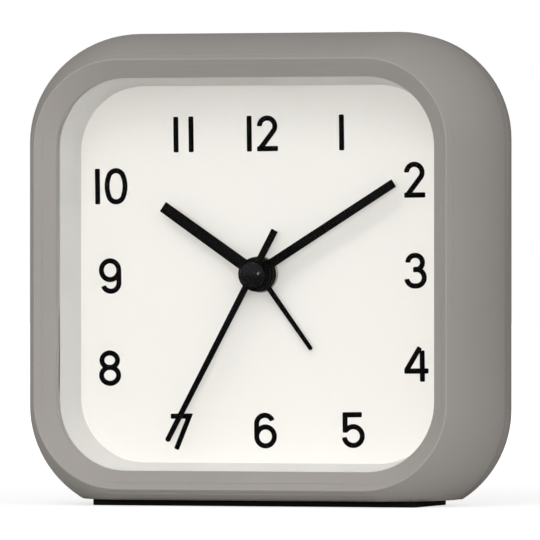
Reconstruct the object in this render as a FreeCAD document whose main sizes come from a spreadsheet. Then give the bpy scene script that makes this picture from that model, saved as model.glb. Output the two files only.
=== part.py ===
import FreeCAD, Part
import Sketcher
import math
import os

# A small quartz alarm clock: a rounded square case with a funnel bezel, a white dial ring,
# a dial with four hands, and an alarm movement with its gear train behind the dial.
#
# Every piece is drawn in the clockmaker's frame: x to the right and y up from the hands' axis,
# z forward from the flat rear face of the case. PLACE turns that frame so that the clock stands
# on its pad with +Z up and its face towards -Y.

doc = FreeCAD.newDocument("alarm_clock")
sheet = doc.addObject("Spreadsheet::Sheet", "Sizes")
nodes = []

SIZES = {
    # Case
    "case_half_width": 48.7,
    "case_corner_radius": 21.6,
    "case_depth": 36.0,
    "crest_inset": 5.7,
    "crest_corner_radius": 17.3,
    "crest_land": 0.3,
    "side_bulge_radius": 47.3,
    "rear_shell_depth": 12.0,
    "wall": 2.0,
    "foot_drop": 45.25,
    "rear_step": 0.2,
    "rear_edge_radius": 8.0,
    "inner_bevel_share": 0.6,
    "seam_gap": 0.15,
    "tongue_wall": 1.0,
    "tongue_height": 1.8,
    "overrun": 1.0,
    # Bezel, glass, dial ring and dial
    "funnel_width": 3.6,
    "opening_corner_radius": 14.1,
    "funnel_depth": 3.9,
    "lip_depth": 1.5,
    "lens_thickness": 1.5,
    "lens_lap": 2.0,
    "lens_gap": 0.15,
    "mouth_over": 0.3,
    "ring_mouth_corner": 14.4,
    "dial_inset": 1.3,
    "dial_corner_radius": 13.4,
    "dial_recess": 8.5,
    "ring_wall": 1.2,
    "ring_floor": 1.5,
    "dial_thickness": 0.5,
    "dial_gap": 0.1,
    "tab_reach": 4.4,
    "tab_height": 6.0,
    "tab_spread": 18.0,
    "ring_post_radius": 2.2,
    "ring_screw_radius": 0.8,
    # Pad under the foot
    "pad_thickness": 1.28,
    "pad_side_inset": 15.2,
    "pad_corner_radius": 3.0,
    "pad_front_inset": 10.0,
    "pad_back_inset": 3.0,
    # Fixings between the shells
    "post_inset": 13.3,
    "post_radius": 2.7,
    "post_web": 1.6,
    "post_web_length": 8.0,
    "post_screw_radius": 1.0,
    "screw_clearance": 0.25,
    "screw_head_radius": 2.0,
    "screw_head_height": 1.3,
    "screw_recess": 3.0,
    "small_head_radius": 1.6,
    "small_head_height": 0.9,
    "screw_grip": 6.0,
    "thread_gap": 0.05,
    "seat_gap": 0.2,
    # Movement: plates and layers, each layer counted back from the one before it
    "movement_half_width": 28.2,
    "movement_top": 21.5,
    "movement_corner": 3.0,
    "movement_wall": 1.4,
    "rear_clearance": 2.0,
    "middle_plate_thickness": 1.0,
    "layer_gap": 0.3,
    "wheel_thickness": 0.9,
    "thin_wheel_thickness": 0.8,
    "pivot_depth": 0.8,
    "running_gap": 0.05,
    "free_gap": 0.3,
    # Gear train: tooth counts, distances from the hands' axis and bearings in degrees
    "tooth_height_share": 0.85,
    "tooth_root_share": 1.05,
    "tooth_tip_share": 0.22,
    "tooth_foot_share": 0.6,
    "train_pinion_teeth": 8,
    "third_wheel_teeth": 60,
    "centre_wheel_teeth": 64,
    "second_wheel_teeth": 50,
    "step_pinion_teeth": 10,
    "step_wheel_teeth": 48,
    "cannon_teeth": 12,
    "minute_wheel_teeth": 36,
    "minute_pinion_teeth": 10,
    "hour_wheel_teeth": 40,
    "alarm_wheel_teeth": 36,
    "alarm_pinion_teeth": 12,
    "third_distance": 10.4,
    "third_bearing": 135.0,
    "step_distance": 10.6,
    "step_bearing": 45.0,
    "rotor_distance": 7.84,
    "rotor_bearing": 0.0,
    "set_distance": 11.6,
    "time_set_bearing": 215.0,
    "alarm_set_bearing": 325.0,
    # Arbors and tubes on the hands' axis, from the middle out
    "second_arbor_radius": 0.5,
    "cannon_radius": 1.0,
    "hour_tube_radius": 1.6,
    "alarm_tube_radius": 2.2,
    "bush_radius": 3.2,
    "bush_proud": 0.3,
    "thin_arbor_radius": 0.45,
    "set_arbor_radius": 0.8,
    "rotor_arbor_radius": 0.35,
    "magnet_radius": 2.0,
    "magnet_length": 2.0,
    "friction_hub_radius": 1.5,
    # Hands
    "alarm_boss_back": 0.6,
    "boss_thickness": 1.1,
    "boss_gap": 0.45,
    "boss_radius": 3.5,
    "minute_boss_radius": 3.3,
    "blade_thickness": 0.35,
    "hour_length": 24.0,
    "hour_root_width": 2.35,
    "hour_tip_width": 2.05,
    "hour_angle": 303.5,
    "minute_length": 34.3,
    "minute_root_width": 1.85,
    "minute_tip_width": 1.7,
    "minute_angle": 57.9,
    "second_length": 38.1,
    "second_tail": 10.0,
    "second_root_width": 1.2,
    "second_tip_width": 0.85,
    "second_angle": 208.1,
    "alarm_length": 18.7,
    "alarm_root_width": 1.1,
    "alarm_tip_width": 0.85,
    "alarm_angle": 144.0,
    "cap_radius": 2.6,
    "cap_height": 1.7,
    "cap_edge": 0.5,
    "tube_seat": 0.6,
    # Controls on the back
    "dish_half_width": 20.5,
    "dish_top": 9.5,
    "dish_bottom": 14.5,
    "dish_corner": 4.0,
    "dish_depth": 2.8,
    "dish_floor": 1.0,
    "knob_radius": 5.5,
    "knob_height": 3.4,
    "knob_gap": 0.4,
    "knob_flute_radius": 0.9,
    "knob_flutes": 12,
    "switch_height": 5.0,
    "switch_half_width": 2.4,
    "switch_half_height": 1.8,
    "switch_travel": 5.0,
    "switch_slot_margin": 0.4,
    "switch_flange": 0.8,
    # Battery, its bay and its door
    "battery_radius": 7.1,
    "battery_length": 49.2,
    "battery_nub_radius": 2.7,
    "battery_nub_length": 1.3,
    "bay_drop": 29.9,
    "bay_half_width": 28.2,
    "bay_wall": 1.3,
    "bay_gap": 0.25,
    "contact_thickness": 0.4,
    "contact_half_width": 4.0,
    "spring_root_radius": 4.0,
    "spring_tip_radius": 2.0,
    "door_half_width": 28.7,
    "door_half_height": 8.7,
    "door_corner": 1.5,
    "door_gap": 0.2,
    "door_thickness": 2.0,
    "door_hook_width": 6.0,
    "door_hook_spread": 18.0,
    "door_hook_reach": 1.4,
    "door_hook_thickness": 0.9,
    "door_ridge_width": 10.0,
    "door_ridge_height": 0.5,
    "door_ridge_pitch": 1.6,
    "door_ridge_thickness": 0.7,
    # Sounder and its slots
    "sounder_rise": 31.5,
    "sounder_radius": 9.0,
    "sounder_thickness": 5.0,
    "sound_slots": 5,
    "sound_slot_pitch": 2.8,
    "sound_slot_half_width": 7.0,
    "sound_slot_height": 1.2,
    # Coil, stator and electronics
    "coil_place": 22.3,
    "coil_radius": 3.2,
    "coil_half_length": 8.0,
    "coil_rise": 6.0,
    "bobbin_cheek": 0.8,
    "bobbin_cheek_radius": 3.5,
    "core_half_width": 1.5,
    "core_thickness": 0.8,
    "stator_thickness": 0.8,
    "stator_gap": 0.5,
    "stator_arm": 4.0,
    "board_inner": 14.0,
    "board_outer": 26.4,
    "board_top": 17.5,
    "board_bottom": 16.0,
    "board_thickness": 0.8,
    "crystal_radius": 1.0,
    "crystal_length": 6.0,
    "chip_half_width": 2.5,
    "chip_height": 0.9,
    "spring_leaf": 0.3,
    "spring_leaf_width": 3.0,
    "spring_leaf_reach": 13.0,
    "spring_post_radius": 1.2,
    # Movement's fixing ears
    "ear_place": 31.2,
    "ear_rise": 14.0,
    "ear_radius": 3.0,
}

for row, (alias, length) in enumerate(SIZES.items(), 1):
    sheet.set("A%d" % row, alias)
    sheet.set("B%d" % row, str(length))
    sheet.setAlias("B%d" % row, alias)
doc.recompute()


def named(alias):
    return "Sizes." + alias


def value(expression):
    return float(sheet.evalExpression(expression))


def joined(sign, first, *rest):
    parts = [named(first)]
    for alias in rest:
        parts.append(named(alias))
    return "(" + sign.join(parts) + ")"


def plus(first, *rest):
    return joined(" + ", first, *rest)


def less(first, *rest):
    return joined(" - ", first, *rest)


# Half widths, each set in from the case's outside
CREST_HALF = less("case_half_width", "crest_inset")
OPENING_HALF = "(%s - Sizes.funnel_width)" % CREST_HALF
MOUTH_HALF = "(%s + Sizes.mouth_over)" % OPENING_HALF
DIAL_HALF = "(%s - Sizes.dial_inset)" % OPENING_HALF
POST_PLACE = less("case_half_width", "post_inset")
PAD_HALF = less("case_half_width", "pad_side_inset")

# Stations along the hands' axis
CREST = named("case_depth")
FUNNEL_END = less("case_depth", "funnel_depth")
LIP_BACK = less("case_depth", "funnel_depth", "lip_depth")
LENS_BACK = less("case_depth", "funnel_depth", "lip_depth", "lens_thickness")
DIAL_FACE = "(%s - Sizes.dial_recess)" % LENS_BACK
DIAL_BACK = "(%s - Sizes.dial_thickness)" % DIAL_FACE
RING_BACK = "(%s - Sizes.ring_floor)" % DIAL_BACK
SEAM = named("rear_shell_depth")
FRONT_DEPTH = less("case_depth", "rear_shell_depth")
HOUSING_BACK = plus("wall", "rear_clearance")
HOUSING_FLOOR = plus("wall", "rear_clearance", "movement_wall")
PLATE_FRONT = RING_BACK
PLATE_BACK = "(%s - Sizes.movement_wall)" % PLATE_FRONT
ALARM_LAYER = "(%s - Sizes.layer_gap - Sizes.wheel_thickness)" % PLATE_BACK
HOUR_LAYER = "(%s - Sizes.layer_gap - Sizes.wheel_thickness)" % ALARM_LAYER
MINUTE_LAYER = "(%s - Sizes.layer_gap - Sizes.thin_wheel_thickness)" % HOUR_LAYER
MIDDLE_FRONT = "(%s - Sizes.layer_gap)" % MINUTE_LAYER
MIDDLE_BACK = "(%s - Sizes.middle_plate_thickness)" % MIDDLE_FRONT
CENTRE_LAYER = "(%s - Sizes.layer_gap - Sizes.thin_wheel_thickness)" % MIDDLE_BACK
THIRD_LAYER = "(%s - Sizes.layer_gap - Sizes.thin_wheel_thickness)" % CENTRE_LAYER
SECOND_LAYER = "(%s - Sizes.layer_gap - Sizes.thin_wheel_thickness)" % THIRD_LAYER
STEP_LAYER = "(%s - Sizes.layer_gap - Sizes.thin_wheel_thickness)" % SECOND_LAYER
MAGNET_FOOT = "(%s + Sizes.thin_wheel_thickness + 2 * Sizes.layer_gap)" % STEP_LAYER
STATOR_BACK = "(%s + (Sizes.magnet_length - Sizes.stator_thickness) / 2)" % MAGNET_FOOT
ALARM_BOSS = "(%s + Sizes.alarm_boss_back)" % DIAL_FACE
HOUR_BOSS = "(%s + Sizes.boss_thickness + Sizes.boss_gap)" % ALARM_BOSS
MINUTE_BOSS = "(%s + Sizes.boss_thickness + Sizes.boss_gap)" % HOUR_BOSS
SECOND_BOSS = "(%s + Sizes.boss_thickness + Sizes.boss_gap)" % MINUTE_BOSS
PAD_BOTTOM = plus("foot_drop", "pad_thickness")
KNOB_BACK = "(Sizes.dish_depth - Sizes.knob_gap - Sizes.knob_height)"
ROW_DEPTH = "(%s - %s)" % (CREST, KNOB_BACK)

REAR_FACE_AT = value("%s / 2 + %s" % (ROW_DEPTH, KNOB_BACK))
PLACE = FreeCAD.Placement(
    FreeCAD.Vector(0, REAR_FACE_AT, value(PAD_BOTTOM)),
    FreeCAD.Rotation(FreeCAD.Vector(1, 0, 0), 90),
)


def keep(obj, label):
    obj.Label = label
    nodes.append(obj)
    return obj


def bearing(distance, angle):
    x = "(Sizes.%s * cos(Sizes.%s * 1deg))" % (distance, angle)
    y = "(Sizes.%s * sin(Sizes.%s * 1deg))" % (distance, angle)
    return x, y


THIRD_X, THIRD_Y = bearing("third_distance", "third_bearing")
STEP_X, STEP_Y = bearing("step_distance", "step_bearing")
ROTOR_DX, ROTOR_DY = bearing("rotor_distance", "rotor_bearing")
ROTOR_X = "(%s + %s)" % (STEP_X, ROTOR_DX)
ROTOR_Y = "(%s + %s)" % (STEP_Y, ROTOR_DY)
TIME_X, TIME_Y = bearing("set_distance", "time_set_bearing")
ALARM_X, ALARM_Y = bearing("set_distance", "alarm_set_bearing")


# Helpers for bound primitives


def bind(obj, **expressions):
    for prop, expression in expressions.items():
        obj.setExpression(prop, expression)
    return obj


def put(obj, x="0", y="0", z="0"):
    obj.setExpression("Placement.Base.x", x)
    obj.setExpression("Placement.Base.y", y)
    obj.setExpression("Placement.Base.z", z)
    return obj


def disc(name, radius, bottom, top, x="0", y="0"):
    obj = doc.addObject("Part::Cylinder", name)
    bind(obj, Radius=radius, Height="%s - %s" % (top, bottom))
    return put(obj, x, y, bottom)


def block(name, left, right, low, high, bottom, top):
    obj = doc.addObject("Part::Box", name)
    bind(obj, Length="%s - %s" % (right, left), Width="%s - %s" % (high, low), Height="%s - %s" % (top, bottom))
    return put(obj, left, low, bottom)


def fused(name, shapes):
    obj = doc.addObject("Part::MultiFuse", name)
    obj.Shapes = shapes
    obj.Refine = True
    return obj


def cut(name, base, tool):
    obj = doc.addObject("Part::Cut", name)
    obj.Base = base
    obj.Tool = tool
    return obj


def origin_plane(body, role):
    for feature in body.Origin.OriginFeatures:
        if feature.Role == role:
            return feature
    raise ValueError(role)


def sketch_on(body, name, station):
    sketch = body.newObject("Sketcher::SketchObject", name)
    sketch.AttachmentSupport = [(origin_plane(body, "XY_Plane"), "")]
    sketch.MapMode = "FlatFace"
    sketch.setExpression("AttachmentOffset.Base.z", station)
    return sketch


def rounded_outline(sketch, left, right, low, high, corner):
    """A rectangle with four round corners; the four sides and the corner are expressions."""
    x0, x1 = value("-(%s)" % left), value(right)
    y0, y1 = value("-(%s)" % low), value(high)
    r = value(corner)
    v = FreeCAD.Vector
    up = v(0, 0, 1)
    sketch.addGeometry(Part.LineSegment(v(x0 + r, y0, 0), v(x1 - r, y0, 0)))
    sketch.addGeometry(Part.LineSegment(v(x1, y0 + r, 0), v(x1, y1 - r, 0)))
    sketch.addGeometry(Part.LineSegment(v(x1 - r, y1, 0), v(x0 + r, y1, 0)))
    sketch.addGeometry(Part.LineSegment(v(x0, y1 - r, 0), v(x0, y0 + r, 0)))
    centres = ((x1 - r, y0 + r), (x1 - r, y1 - r), (x0 + r, y1 - r), (x0 + r, y0 + r))
    for index, (x, y) in enumerate(centres):
        start = (index - 1) * math.pi / 2
        circle = Part.Circle(v(x, y, 0), up, r)
        sketch.addGeometry(Part.ArcOfCircle(circle, start, start + math.pi / 2))
    for index in range(4):
        arc = 4 + index
        sketch.addConstraint(Sketcher.Constraint("Tangent", index, 2, arc, 1))
        sketch.addConstraint(Sketcher.Constraint("Tangent", arc, 2, (index + 1) % 4, 1))
    for index in (0, 2):
        sketch.addConstraint(Sketcher.Constraint("Horizontal", index))
    for index in (1, 3):
        sketch.addConstraint(Sketcher.Constraint("Vertical", index))
    for arc in (5, 6, 7):
        sketch.addConstraint(Sketcher.Constraint("Equal", 4, arc))
    number = sketch.addConstraint(Sketcher.Constraint("Radius", 4, r))
    sketch.renameConstraint(number, "corner")
    number = sketch.addConstraint(Sketcher.Constraint("DistanceX", 3, 1, -1, 1, -x0))
    sketch.renameConstraint(number, "left")
    number = sketch.addConstraint(Sketcher.Constraint("DistanceX", -1, 1, 1, 1, x1))
    sketch.renameConstraint(number, "right")
    number = sketch.addConstraint(Sketcher.Constraint("DistanceY", 0, 1, -1, 1, -y0))
    sketch.renameConstraint(number, "low")
    number = sketch.addConstraint(Sketcher.Constraint("DistanceY", -1, 1, 2, 1, y1))
    sketch.renameConstraint(number, "high")
    sketch.setExpression("Constraints.corner", corner)
    sketch.setExpression("Constraints.left", left)
    sketch.setExpression("Constraints.right", right)
    sketch.setExpression("Constraints.low", low)
    sketch.setExpression("Constraints.high", high)


def square_sketch(body, name, half, corner, station):
    sketch = sketch_on(body, name, station)
    rounded_outline(sketch, half, half, half, half, corner)
    return sketch


def pad(body, sketch, name, length):
    feature = body.newObject("PartDesign::Pad", name)
    feature.Profile = sketch
    feature.setExpression("Length", length)
    return feature


def pocket(body, sketch, name, length):
    feature = body.newObject("PartDesign::Pocket", name)
    feature.Profile = sketch
    feature.setExpression("Length", length)
    return feature


def loft(body, sketches, name, kind, ruled):
    feature = body.newObject("PartDesign::" + kind, name)
    feature.Profile = sketches[0]
    feature.Sections = sketches[1:]
    feature.Ruled = ruled
    return feature


def plate_body(name, left, right, low, high, corner, bottom, top):
    body = doc.addObject("PartDesign::Body", name)
    sketch = sketch_on(body, name + "_outline", bottom)
    rounded_outline(sketch, left, right, low, high, corner)
    pad(body, sketch, name + "_pad", "%s - %s" % (top, bottom))
    return body


def square_body(name, half, corner, bottom, top):
    return plate_body(name, half, half, half, half, corner, bottom, top)


def trim_below(body, name, drop):
    """Cut the body flat below the foot plane, over its whole depth."""
    sketch = sketch_on(body, name + "_outline", "Sizes.case_depth + Sizes.overrun")
    wide = "Sizes.case_half_width + Sizes.overrun"
    x = value(wide)
    y0 = -value(wide)
    y1 = -value(drop)
    v = FreeCAD.Vector
    corners = (v(-x, y0, 0), v(x, y0, 0), v(x, y1, 0), v(-x, y1, 0))
    for index in range(4):
        sketch.addGeometry(Part.LineSegment(corners[index], corners[(index + 1) % 4]))
    for index in range(4):
        sketch.addConstraint(Sketcher.Constraint("Coincident", index, 2, (index + 1) % 4, 1))
    for index in (0, 2):
        sketch.addConstraint(Sketcher.Constraint("Horizontal", index))
    for index in (1, 3):
        sketch.addConstraint(Sketcher.Constraint("Vertical", index))
    places = (
        ("left", "DistanceX", (0, 1, -1, 1), x, wide),
        ("right", "DistanceX", (-1, 1, 1, 1), x, wide),
        ("low", "DistanceY", (0, 1, -1, 1), -y0, wide),
        ("high", "DistanceY", (2, 1, -1, 1), -y1, drop),
    )
    for label, kind, ends, start, expression in places:
        number = sketch.addConstraint(Sketcher.Constraint(kind, *ends, start))
        sketch.renameConstraint(number, label)
        sketch.setExpression("Constraints." + label, expression)
    return pocket(body, sketch, name, "Sizes.case_depth + 2 * Sizes.overrun")


# Front shell: the side swells from the crest to the seam, the bezel falls in like a funnel
OUTER_STOPS = 3
INNER_STOPS = 2


def side_half(depth):
    """Half width of the outside at a depth behind the crest, on one arc from crest to shoulder."""
    rise = named("crest_inset")
    run = "sqrt(Sizes.side_bulge_radius ^ 2 - (Sizes.side_bulge_radius - %s) ^ 2)" % rise
    fall = "(Sizes.side_bulge_radius - sqrt(Sizes.side_bulge_radius ^ 2 - (max(%s - %s; 0)) ^ 2))"
    return "(Sizes.case_half_width - %s)" % (fall % (run, depth))


def side_corner(half):
    grown = "(%s - %s) / Sizes.crest_inset" % (half, CREST_HALF)
    return "(Sizes.crest_corner_radius + (Sizes.case_corner_radius - Sizes.crest_corner_radius) * %s)" % grown


def side_loft(name, inset, start, land, stops, ruled):
    """A solid of the case's outside, drawn in by inset, from the seam forward to a depth."""
    body = doc.addObject("PartDesign::Body", name)
    sections = []
    for index in range(stops + 1):
        share = index / stops
        depth = "(%s + (%s - %s) * %s)" % (start, FRONT_DEPTH, start, share)
        half = "(%s - %s)" % (side_half(depth), inset)
        corner = "(%s - %s)" % (side_corner(side_half(depth)), inset)
        if index == 0:
            half = "(%s + %s)" % (half, land)
            corner = "(%s + %s)" % (corner, land)
        station = "(Sizes.case_depth - %s)" % depth
        sections.append(square_sketch(body, "%s_section_%d" % (name, index), half, corner, station))
    loft(body, sections, name + "_loft", "AdditiveLoft", ruled)
    return body


front_form = side_loft("front_form", "0", "0", "Sizes.crest_land / 2", OUTER_STOPS, False)
funnel_mouth = square_sketch(
    front_form,
    "funnel_mouth",
    "(%s - Sizes.crest_land / 2)" % CREST_HALF,
    "(Sizes.crest_corner_radius - Sizes.crest_land / 2)",
    CREST,
)
funnel_throat = square_sketch(
    front_form, "funnel_throat", OPENING_HALF, named("opening_corner_radius"), FUNNEL_END
)
loft(front_form, [funnel_mouth, funnel_throat], "funnel", "SubtractiveLoft", True)
lip_outline = square_sketch(
    front_form, "lip_outline", OPENING_HALF, named("opening_corner_radius"), FUNNEL_END
)
pocket(front_form, lip_outline, "lip_opening", "Sizes.lip_depth")
LENS_HALF = "(%s + Sizes.lens_lap)" % OPENING_HALF
LENS_CORNER = plus("opening_corner_radius", "lens_lap")
LENS_POCKET_END = "(%s - Sizes.lens_gap)" % LENS_BACK
lens_seat_outline = square_sketch(
    front_form, "lens_seat_outline", "%s + Sizes.lens_gap" % LENS_HALF, "%s + Sizes.lens_gap" % LENS_CORNER, LIP_BACK
)
pocket(front_form, lens_seat_outline, "lens_seat", "Sizes.lens_thickness + Sizes.lens_gap")
trim_below(front_form, "front_foot_cut", named("foot_drop"))

front_cavity = side_loft(
    "front_cavity", "Sizes.wall", "(Sizes.case_depth - %s)" % LENS_POCKET_END, "0", INNER_STOPS, True
)
trim_below(front_cavity, "front_cavity_cut", less("foot_drop", "wall"))

front_shell = cut("front_shell", front_form, front_cavity)

POST_TOP = "(%s - Sizes.seat_gap)" % RING_BACK
POST_FOOT = "(%s + Sizes.tongue_height + Sizes.seat_gap)" % SEAM
front_posts = []
for index, (sx, sy) in enumerate(((1, 1), (-1, 1), (-1, -1), (1, -1))):
    px = "%d * %s" % (sx, POST_PLACE)
    py = "%d * %s" % (sy, POST_PLACE)
    post = disc("front_post_%d" % index, named("post_radius"), POST_FOOT, POST_TOP, px, py)
    web = doc.addObject("Part::Box", "front_web_%d" % index)
    bind(web, Length=named("post_web_length"), Width="Sizes.post_web", Height="%s - %s" % (POST_TOP, POST_FOOT))
    turn = math.degrees(math.atan2(sy, sx))
    web.Placement = FreeCAD.Placement(FreeCAD.Vector(), FreeCAD.Rotation(FreeCAD.Vector(0, 0, 1), turn))
    across = math.radians(turn)
    put(
        web,
        "%s + Sizes.post_web / 2 * %f" % (px, math.sin(across)),
        "%s - Sizes.post_web / 2 * %f" % (py, math.cos(across)),
        POST_FOOT,
    )
    front_posts += [post, web]
RING_POST_X = "(%s + Sizes.ring_wall + Sizes.free_gap + Sizes.ring_post_radius)" % MOUTH_HALF
ring_posts = []
for index, (sx, sy) in enumerate(((1, 1), (-1, 1), (-1, -1), (1, -1))):
    px = "%d * %s" % (sx, RING_POST_X)
    py = "%d * Sizes.tab_spread" % sy
    ring_posts.append(disc("ring_post_%d" % index, named("ring_post_radius"), DIAL_BACK, LENS_POCKET_END, px, py))
front_with_posts = fused("front_with_posts", [front_shell] + front_posts + ring_posts)
POST_UNDER = "(%s - Sizes.overrun)" % POST_FOOT
pilot_holes = []
for index, (sx, sy) in enumerate(((1, 1), (-1, 1), (-1, -1), (1, -1))):
    px = "%d * %s" % (sx, POST_PLACE)
    py = "%d * %s" % (sy, POST_PLACE)
    pilot_holes.append(disc("post_pilot_%d" % index, named("post_screw_radius"), POST_UNDER, POST_TOP, px, py))
    px = "%d * %s" % (sx, RING_POST_X)
    py = "%d * Sizes.tab_spread" % sy
    pilot_holes.append(
        disc(
            "ring_pilot_%d" % index,
            named("ring_screw_radius"),
            "(%s - Sizes.overrun)" % DIAL_BACK,
            "(%s + Sizes.screw_grip / 2)" % DIAL_BACK,
            px,
            py,
        )
    )
keep(cut("case_front", front_with_posts, fused("front_pilots", pilot_holes)), "case_front")


# Rear shell: a square dish with a rolled edge, a tongue at the seam and a sunk control panel


def edges_at(shape, station):
    level = value(station)
    names = []
    for number, edge in enumerate(shape.Edges, 1):
        box = edge.BoundBox
        if abs(box.ZMin - level) < 1e-6 and abs(box.ZMax - level) < 1e-6:
            names.append("Edge%d" % number)
    return names


def round_edge(body, name, station, radius):
    doc.recompute()
    base = body.Tip
    feature = body.newObject("PartDesign::Fillet", name)
    feature.Base = (base, edges_at(base.Shape, station))
    feature.setExpression("Radius", radius)
    return feature


def bevel_edge(body, name, station, width):
    doc.recompute()
    base = body.Tip
    feature = body.newObject("PartDesign::Chamfer", name)
    feature.Base = (base, edges_at(base.Shape, station))
    feature.setExpression("Size", width)
    return feature


BACK_HALF = less("case_half_width", "rear_step")
BACK_CORNER = less("case_corner_radius", "rear_step")
back_form = square_body("back_form", BACK_HALF, BACK_CORNER, "0", SEAM)
round_edge(back_form, "back_edge", "0", named("rear_edge_radius"))
trim_below(back_form, "back_foot_cut", named("foot_drop"))
back_cavity = square_body(
    "back_cavity", BACK_HALF + " - Sizes.wall", BACK_CORNER + " - Sizes.wall", named("wall"), SEAM + " + Sizes.overrun"
)
INNER_BEVEL = "(Sizes.rear_edge_radius - Sizes.wall) * Sizes.inner_bevel_share"
bevel_edge(back_cavity, "back_cavity_edge", named("wall"), INNER_BEVEL)
trim_below(back_cavity, "back_cavity_cut", less("foot_drop", "wall"))
back_shell = cut("back_shell", back_form, back_cavity)

TONGUE_FOOT = "(%s - Sizes.tongue_height)" % SEAM
TONGUE_TOP = "(%s + Sizes.tongue_height)" % SEAM


def tongue_ring(name, inset, bottom, top):
    ring = square_body(
        name, "Sizes.case_half_width - " + inset, "Sizes.case_corner_radius - " + inset, bottom, top
    )
    trim_below(ring, name + "_foot_cut", "Sizes.foot_drop - " + inset)
    return ring


TONGUE_INSET = "(Sizes.wall + Sizes.seam_gap)"
tongue_root = tongue_ring("tongue_root", "Sizes.wall / 2", TONGUE_FOOT, SEAM)
tongue_outside = tongue_ring("tongue_outside", TONGUE_INSET, TONGUE_FOOT, TONGUE_TOP)
tongue_inside = tongue_ring(
    "tongue_inside",
    "(Sizes.wall + Sizes.seam_gap + Sizes.tongue_wall)",
    "(%s - Sizes.overrun)" % TONGUE_FOOT,
    "(%s + Sizes.overrun)" % TONGUE_TOP,
)
tongue = cut("tongue", fused("tongue_solid", [tongue_root, tongue_outside]), tongue_inside)

dish_walls = plate_body(
    "dish_walls",
    plus("dish_half_width", "dish_floor"),
    plus("dish_half_width", "dish_floor"),
    plus("dish_bottom", "dish_floor"),
    plus("dish_top", "dish_floor"),
    plus("dish_corner", "dish_floor"),
    "Sizes.wall / 2",
    plus("dish_depth", "dish_floor"),
)
back_posts = []
for index, (sx, sy) in enumerate(((1, 1), (-1, 1), (-1, -1), (1, -1))):
    px = "%d * %s" % (sx, POST_PLACE)
    py = "%d * %s" % (sy, POST_PLACE)
    back_posts.append(disc("back_post_%d" % index, named("post_radius"), "Sizes.wall / 2", POST_FOOT, px, py))
back_solid = fused("back_solid", [back_shell, tongue, dish_walls] + back_posts)

dish_space = plate_body(
    "dish_space",
    named("dish_half_width"),
    named("dish_half_width"),
    named("dish_bottom"),
    named("dish_top"),
    named("dish_corner"),
    "-Sizes.overrun",
    named("dish_depth"),
)
DOOR_LOW = "(Sizes.bay_drop + Sizes.door_half_height)"
DOOR_HIGH = "(Sizes.door_half_height - Sizes.bay_drop)"
door_space = plate_body(
    "door_space",
    plus("door_half_width", "door_gap"),
    plus("door_half_width", "door_gap"),
    DOOR_LOW + " + Sizes.door_gap",
    DOOR_HIGH + " + Sizes.door_gap",
    plus("door_corner", "door_gap"),
    "-Sizes.overrun",
    plus("wall", "overrun"),
)
back_cuts = [dish_space, door_space]
for index, (sx, sy) in enumerate(((1, 1), (-1, 1), (-1, -1), (1, -1))):
    px = "%d * %s" % (sx, POST_PLACE)
    py = "%d * %s" % (sy, POST_PLACE)
    head_room = plus("screw_head_radius", "screw_clearance")
    back_cuts.append(disc("head_room_%d" % index, head_room, "-Sizes.overrun", named("screw_recess"), px, py))
    shank_room = plus("post_screw_radius", "screw_clearance")
    back_cuts.append(
        disc("shank_room_%d" % index, shank_room, "0", "%s + Sizes.overrun" % POST_FOOT, px, py)
    )
PANEL_BACK = "(Sizes.dish_depth - Sizes.overrun)"
PANEL_FRONT = "(Sizes.dish_depth + Sizes.dish_floor + Sizes.overrun)"
ARBOR_ROOM = plus("set_arbor_radius", "free_gap")
back_cuts.append(disc("time_arbor_room", ARBOR_ROOM, PANEL_BACK, PANEL_FRONT, TIME_X, TIME_Y))
back_cuts.append(disc("alarm_arbor_room", ARBOR_ROOM, PANEL_BACK, PANEL_FRONT, ALARM_X, ALARM_Y))
SLOT_RIGHT = "(Sizes.switch_travel / 2 + Sizes.switch_half_width + Sizes.switch_slot_margin)"
SLOT_LEFT = "-" + SLOT_RIGHT
SLOT_LOW = "(Sizes.switch_height - Sizes.switch_half_height - Sizes.switch_slot_margin)"
SLOT_HIGH = "(Sizes.switch_height + Sizes.switch_half_height + Sizes.switch_slot_margin)"
back_cuts.append(block("switch_room", SLOT_LEFT, SLOT_RIGHT, SLOT_LOW, SLOT_HIGH, PANEL_BACK, PANEL_FRONT))
for index in range(round(value("Sizes.sound_slots"))):
    middle = "(Sizes.sounder_rise + Sizes.sound_slot_pitch * (%d - (Sizes.sound_slots - 1) / 2))" % index
    back_cuts.append(
        block(
            "sound_slot_%d" % index,
            "-Sizes.sound_slot_half_width",
            named("sound_slot_half_width"),
            "(%s - Sizes.sound_slot_height / 2)" % middle,
            "(%s + Sizes.sound_slot_height / 2)" % middle,
            "-Sizes.overrun",
            plus("wall", "overrun"),
        )
    )
keep(cut("case_back", back_solid, fused("back_cut_tools", back_cuts)), "case_back")

# Battery door: a flat lid with hooks along its lower edge and a ribbed thumb rest

door_plate = plate_body(
    "door_plate",
    named("door_half_width"),
    named("door_half_width"),
    DOOR_LOW,
    DOOR_HIGH,
    named("door_corner"),
    "0",
    named("door_thickness"),
)
door_pieces = [door_plate]
HOOK_TOP = "(Sizes.door_thickness + Sizes.door_gap + Sizes.door_hook_thickness)"
for index, side in enumerate((-1, 1)):
    left = "(%d * Sizes.door_hook_spread - Sizes.door_hook_width / 2)" % side
    right = "(%d * Sizes.door_hook_spread + Sizes.door_hook_width / 2)" % side
    door_pieces.append(
        block(
            "door_leg_%d" % index,
            left,
            right,
            "-" + DOOR_LOW,
            "(Sizes.door_hook_thickness - %s)" % DOOR_LOW,
            "Sizes.door_thickness / 2",
            HOOK_TOP,
        )
    )
    door_pieces.append(
        block(
            "door_hook_%d" % index,
            left,
            right,
            "(-%s - Sizes.door_hook_reach)" % DOOR_LOW,
            "(Sizes.door_hook_thickness - %s)" % DOOR_LOW,
            plus("door_thickness", "door_gap"),
            HOOK_TOP,
        )
    )
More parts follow.
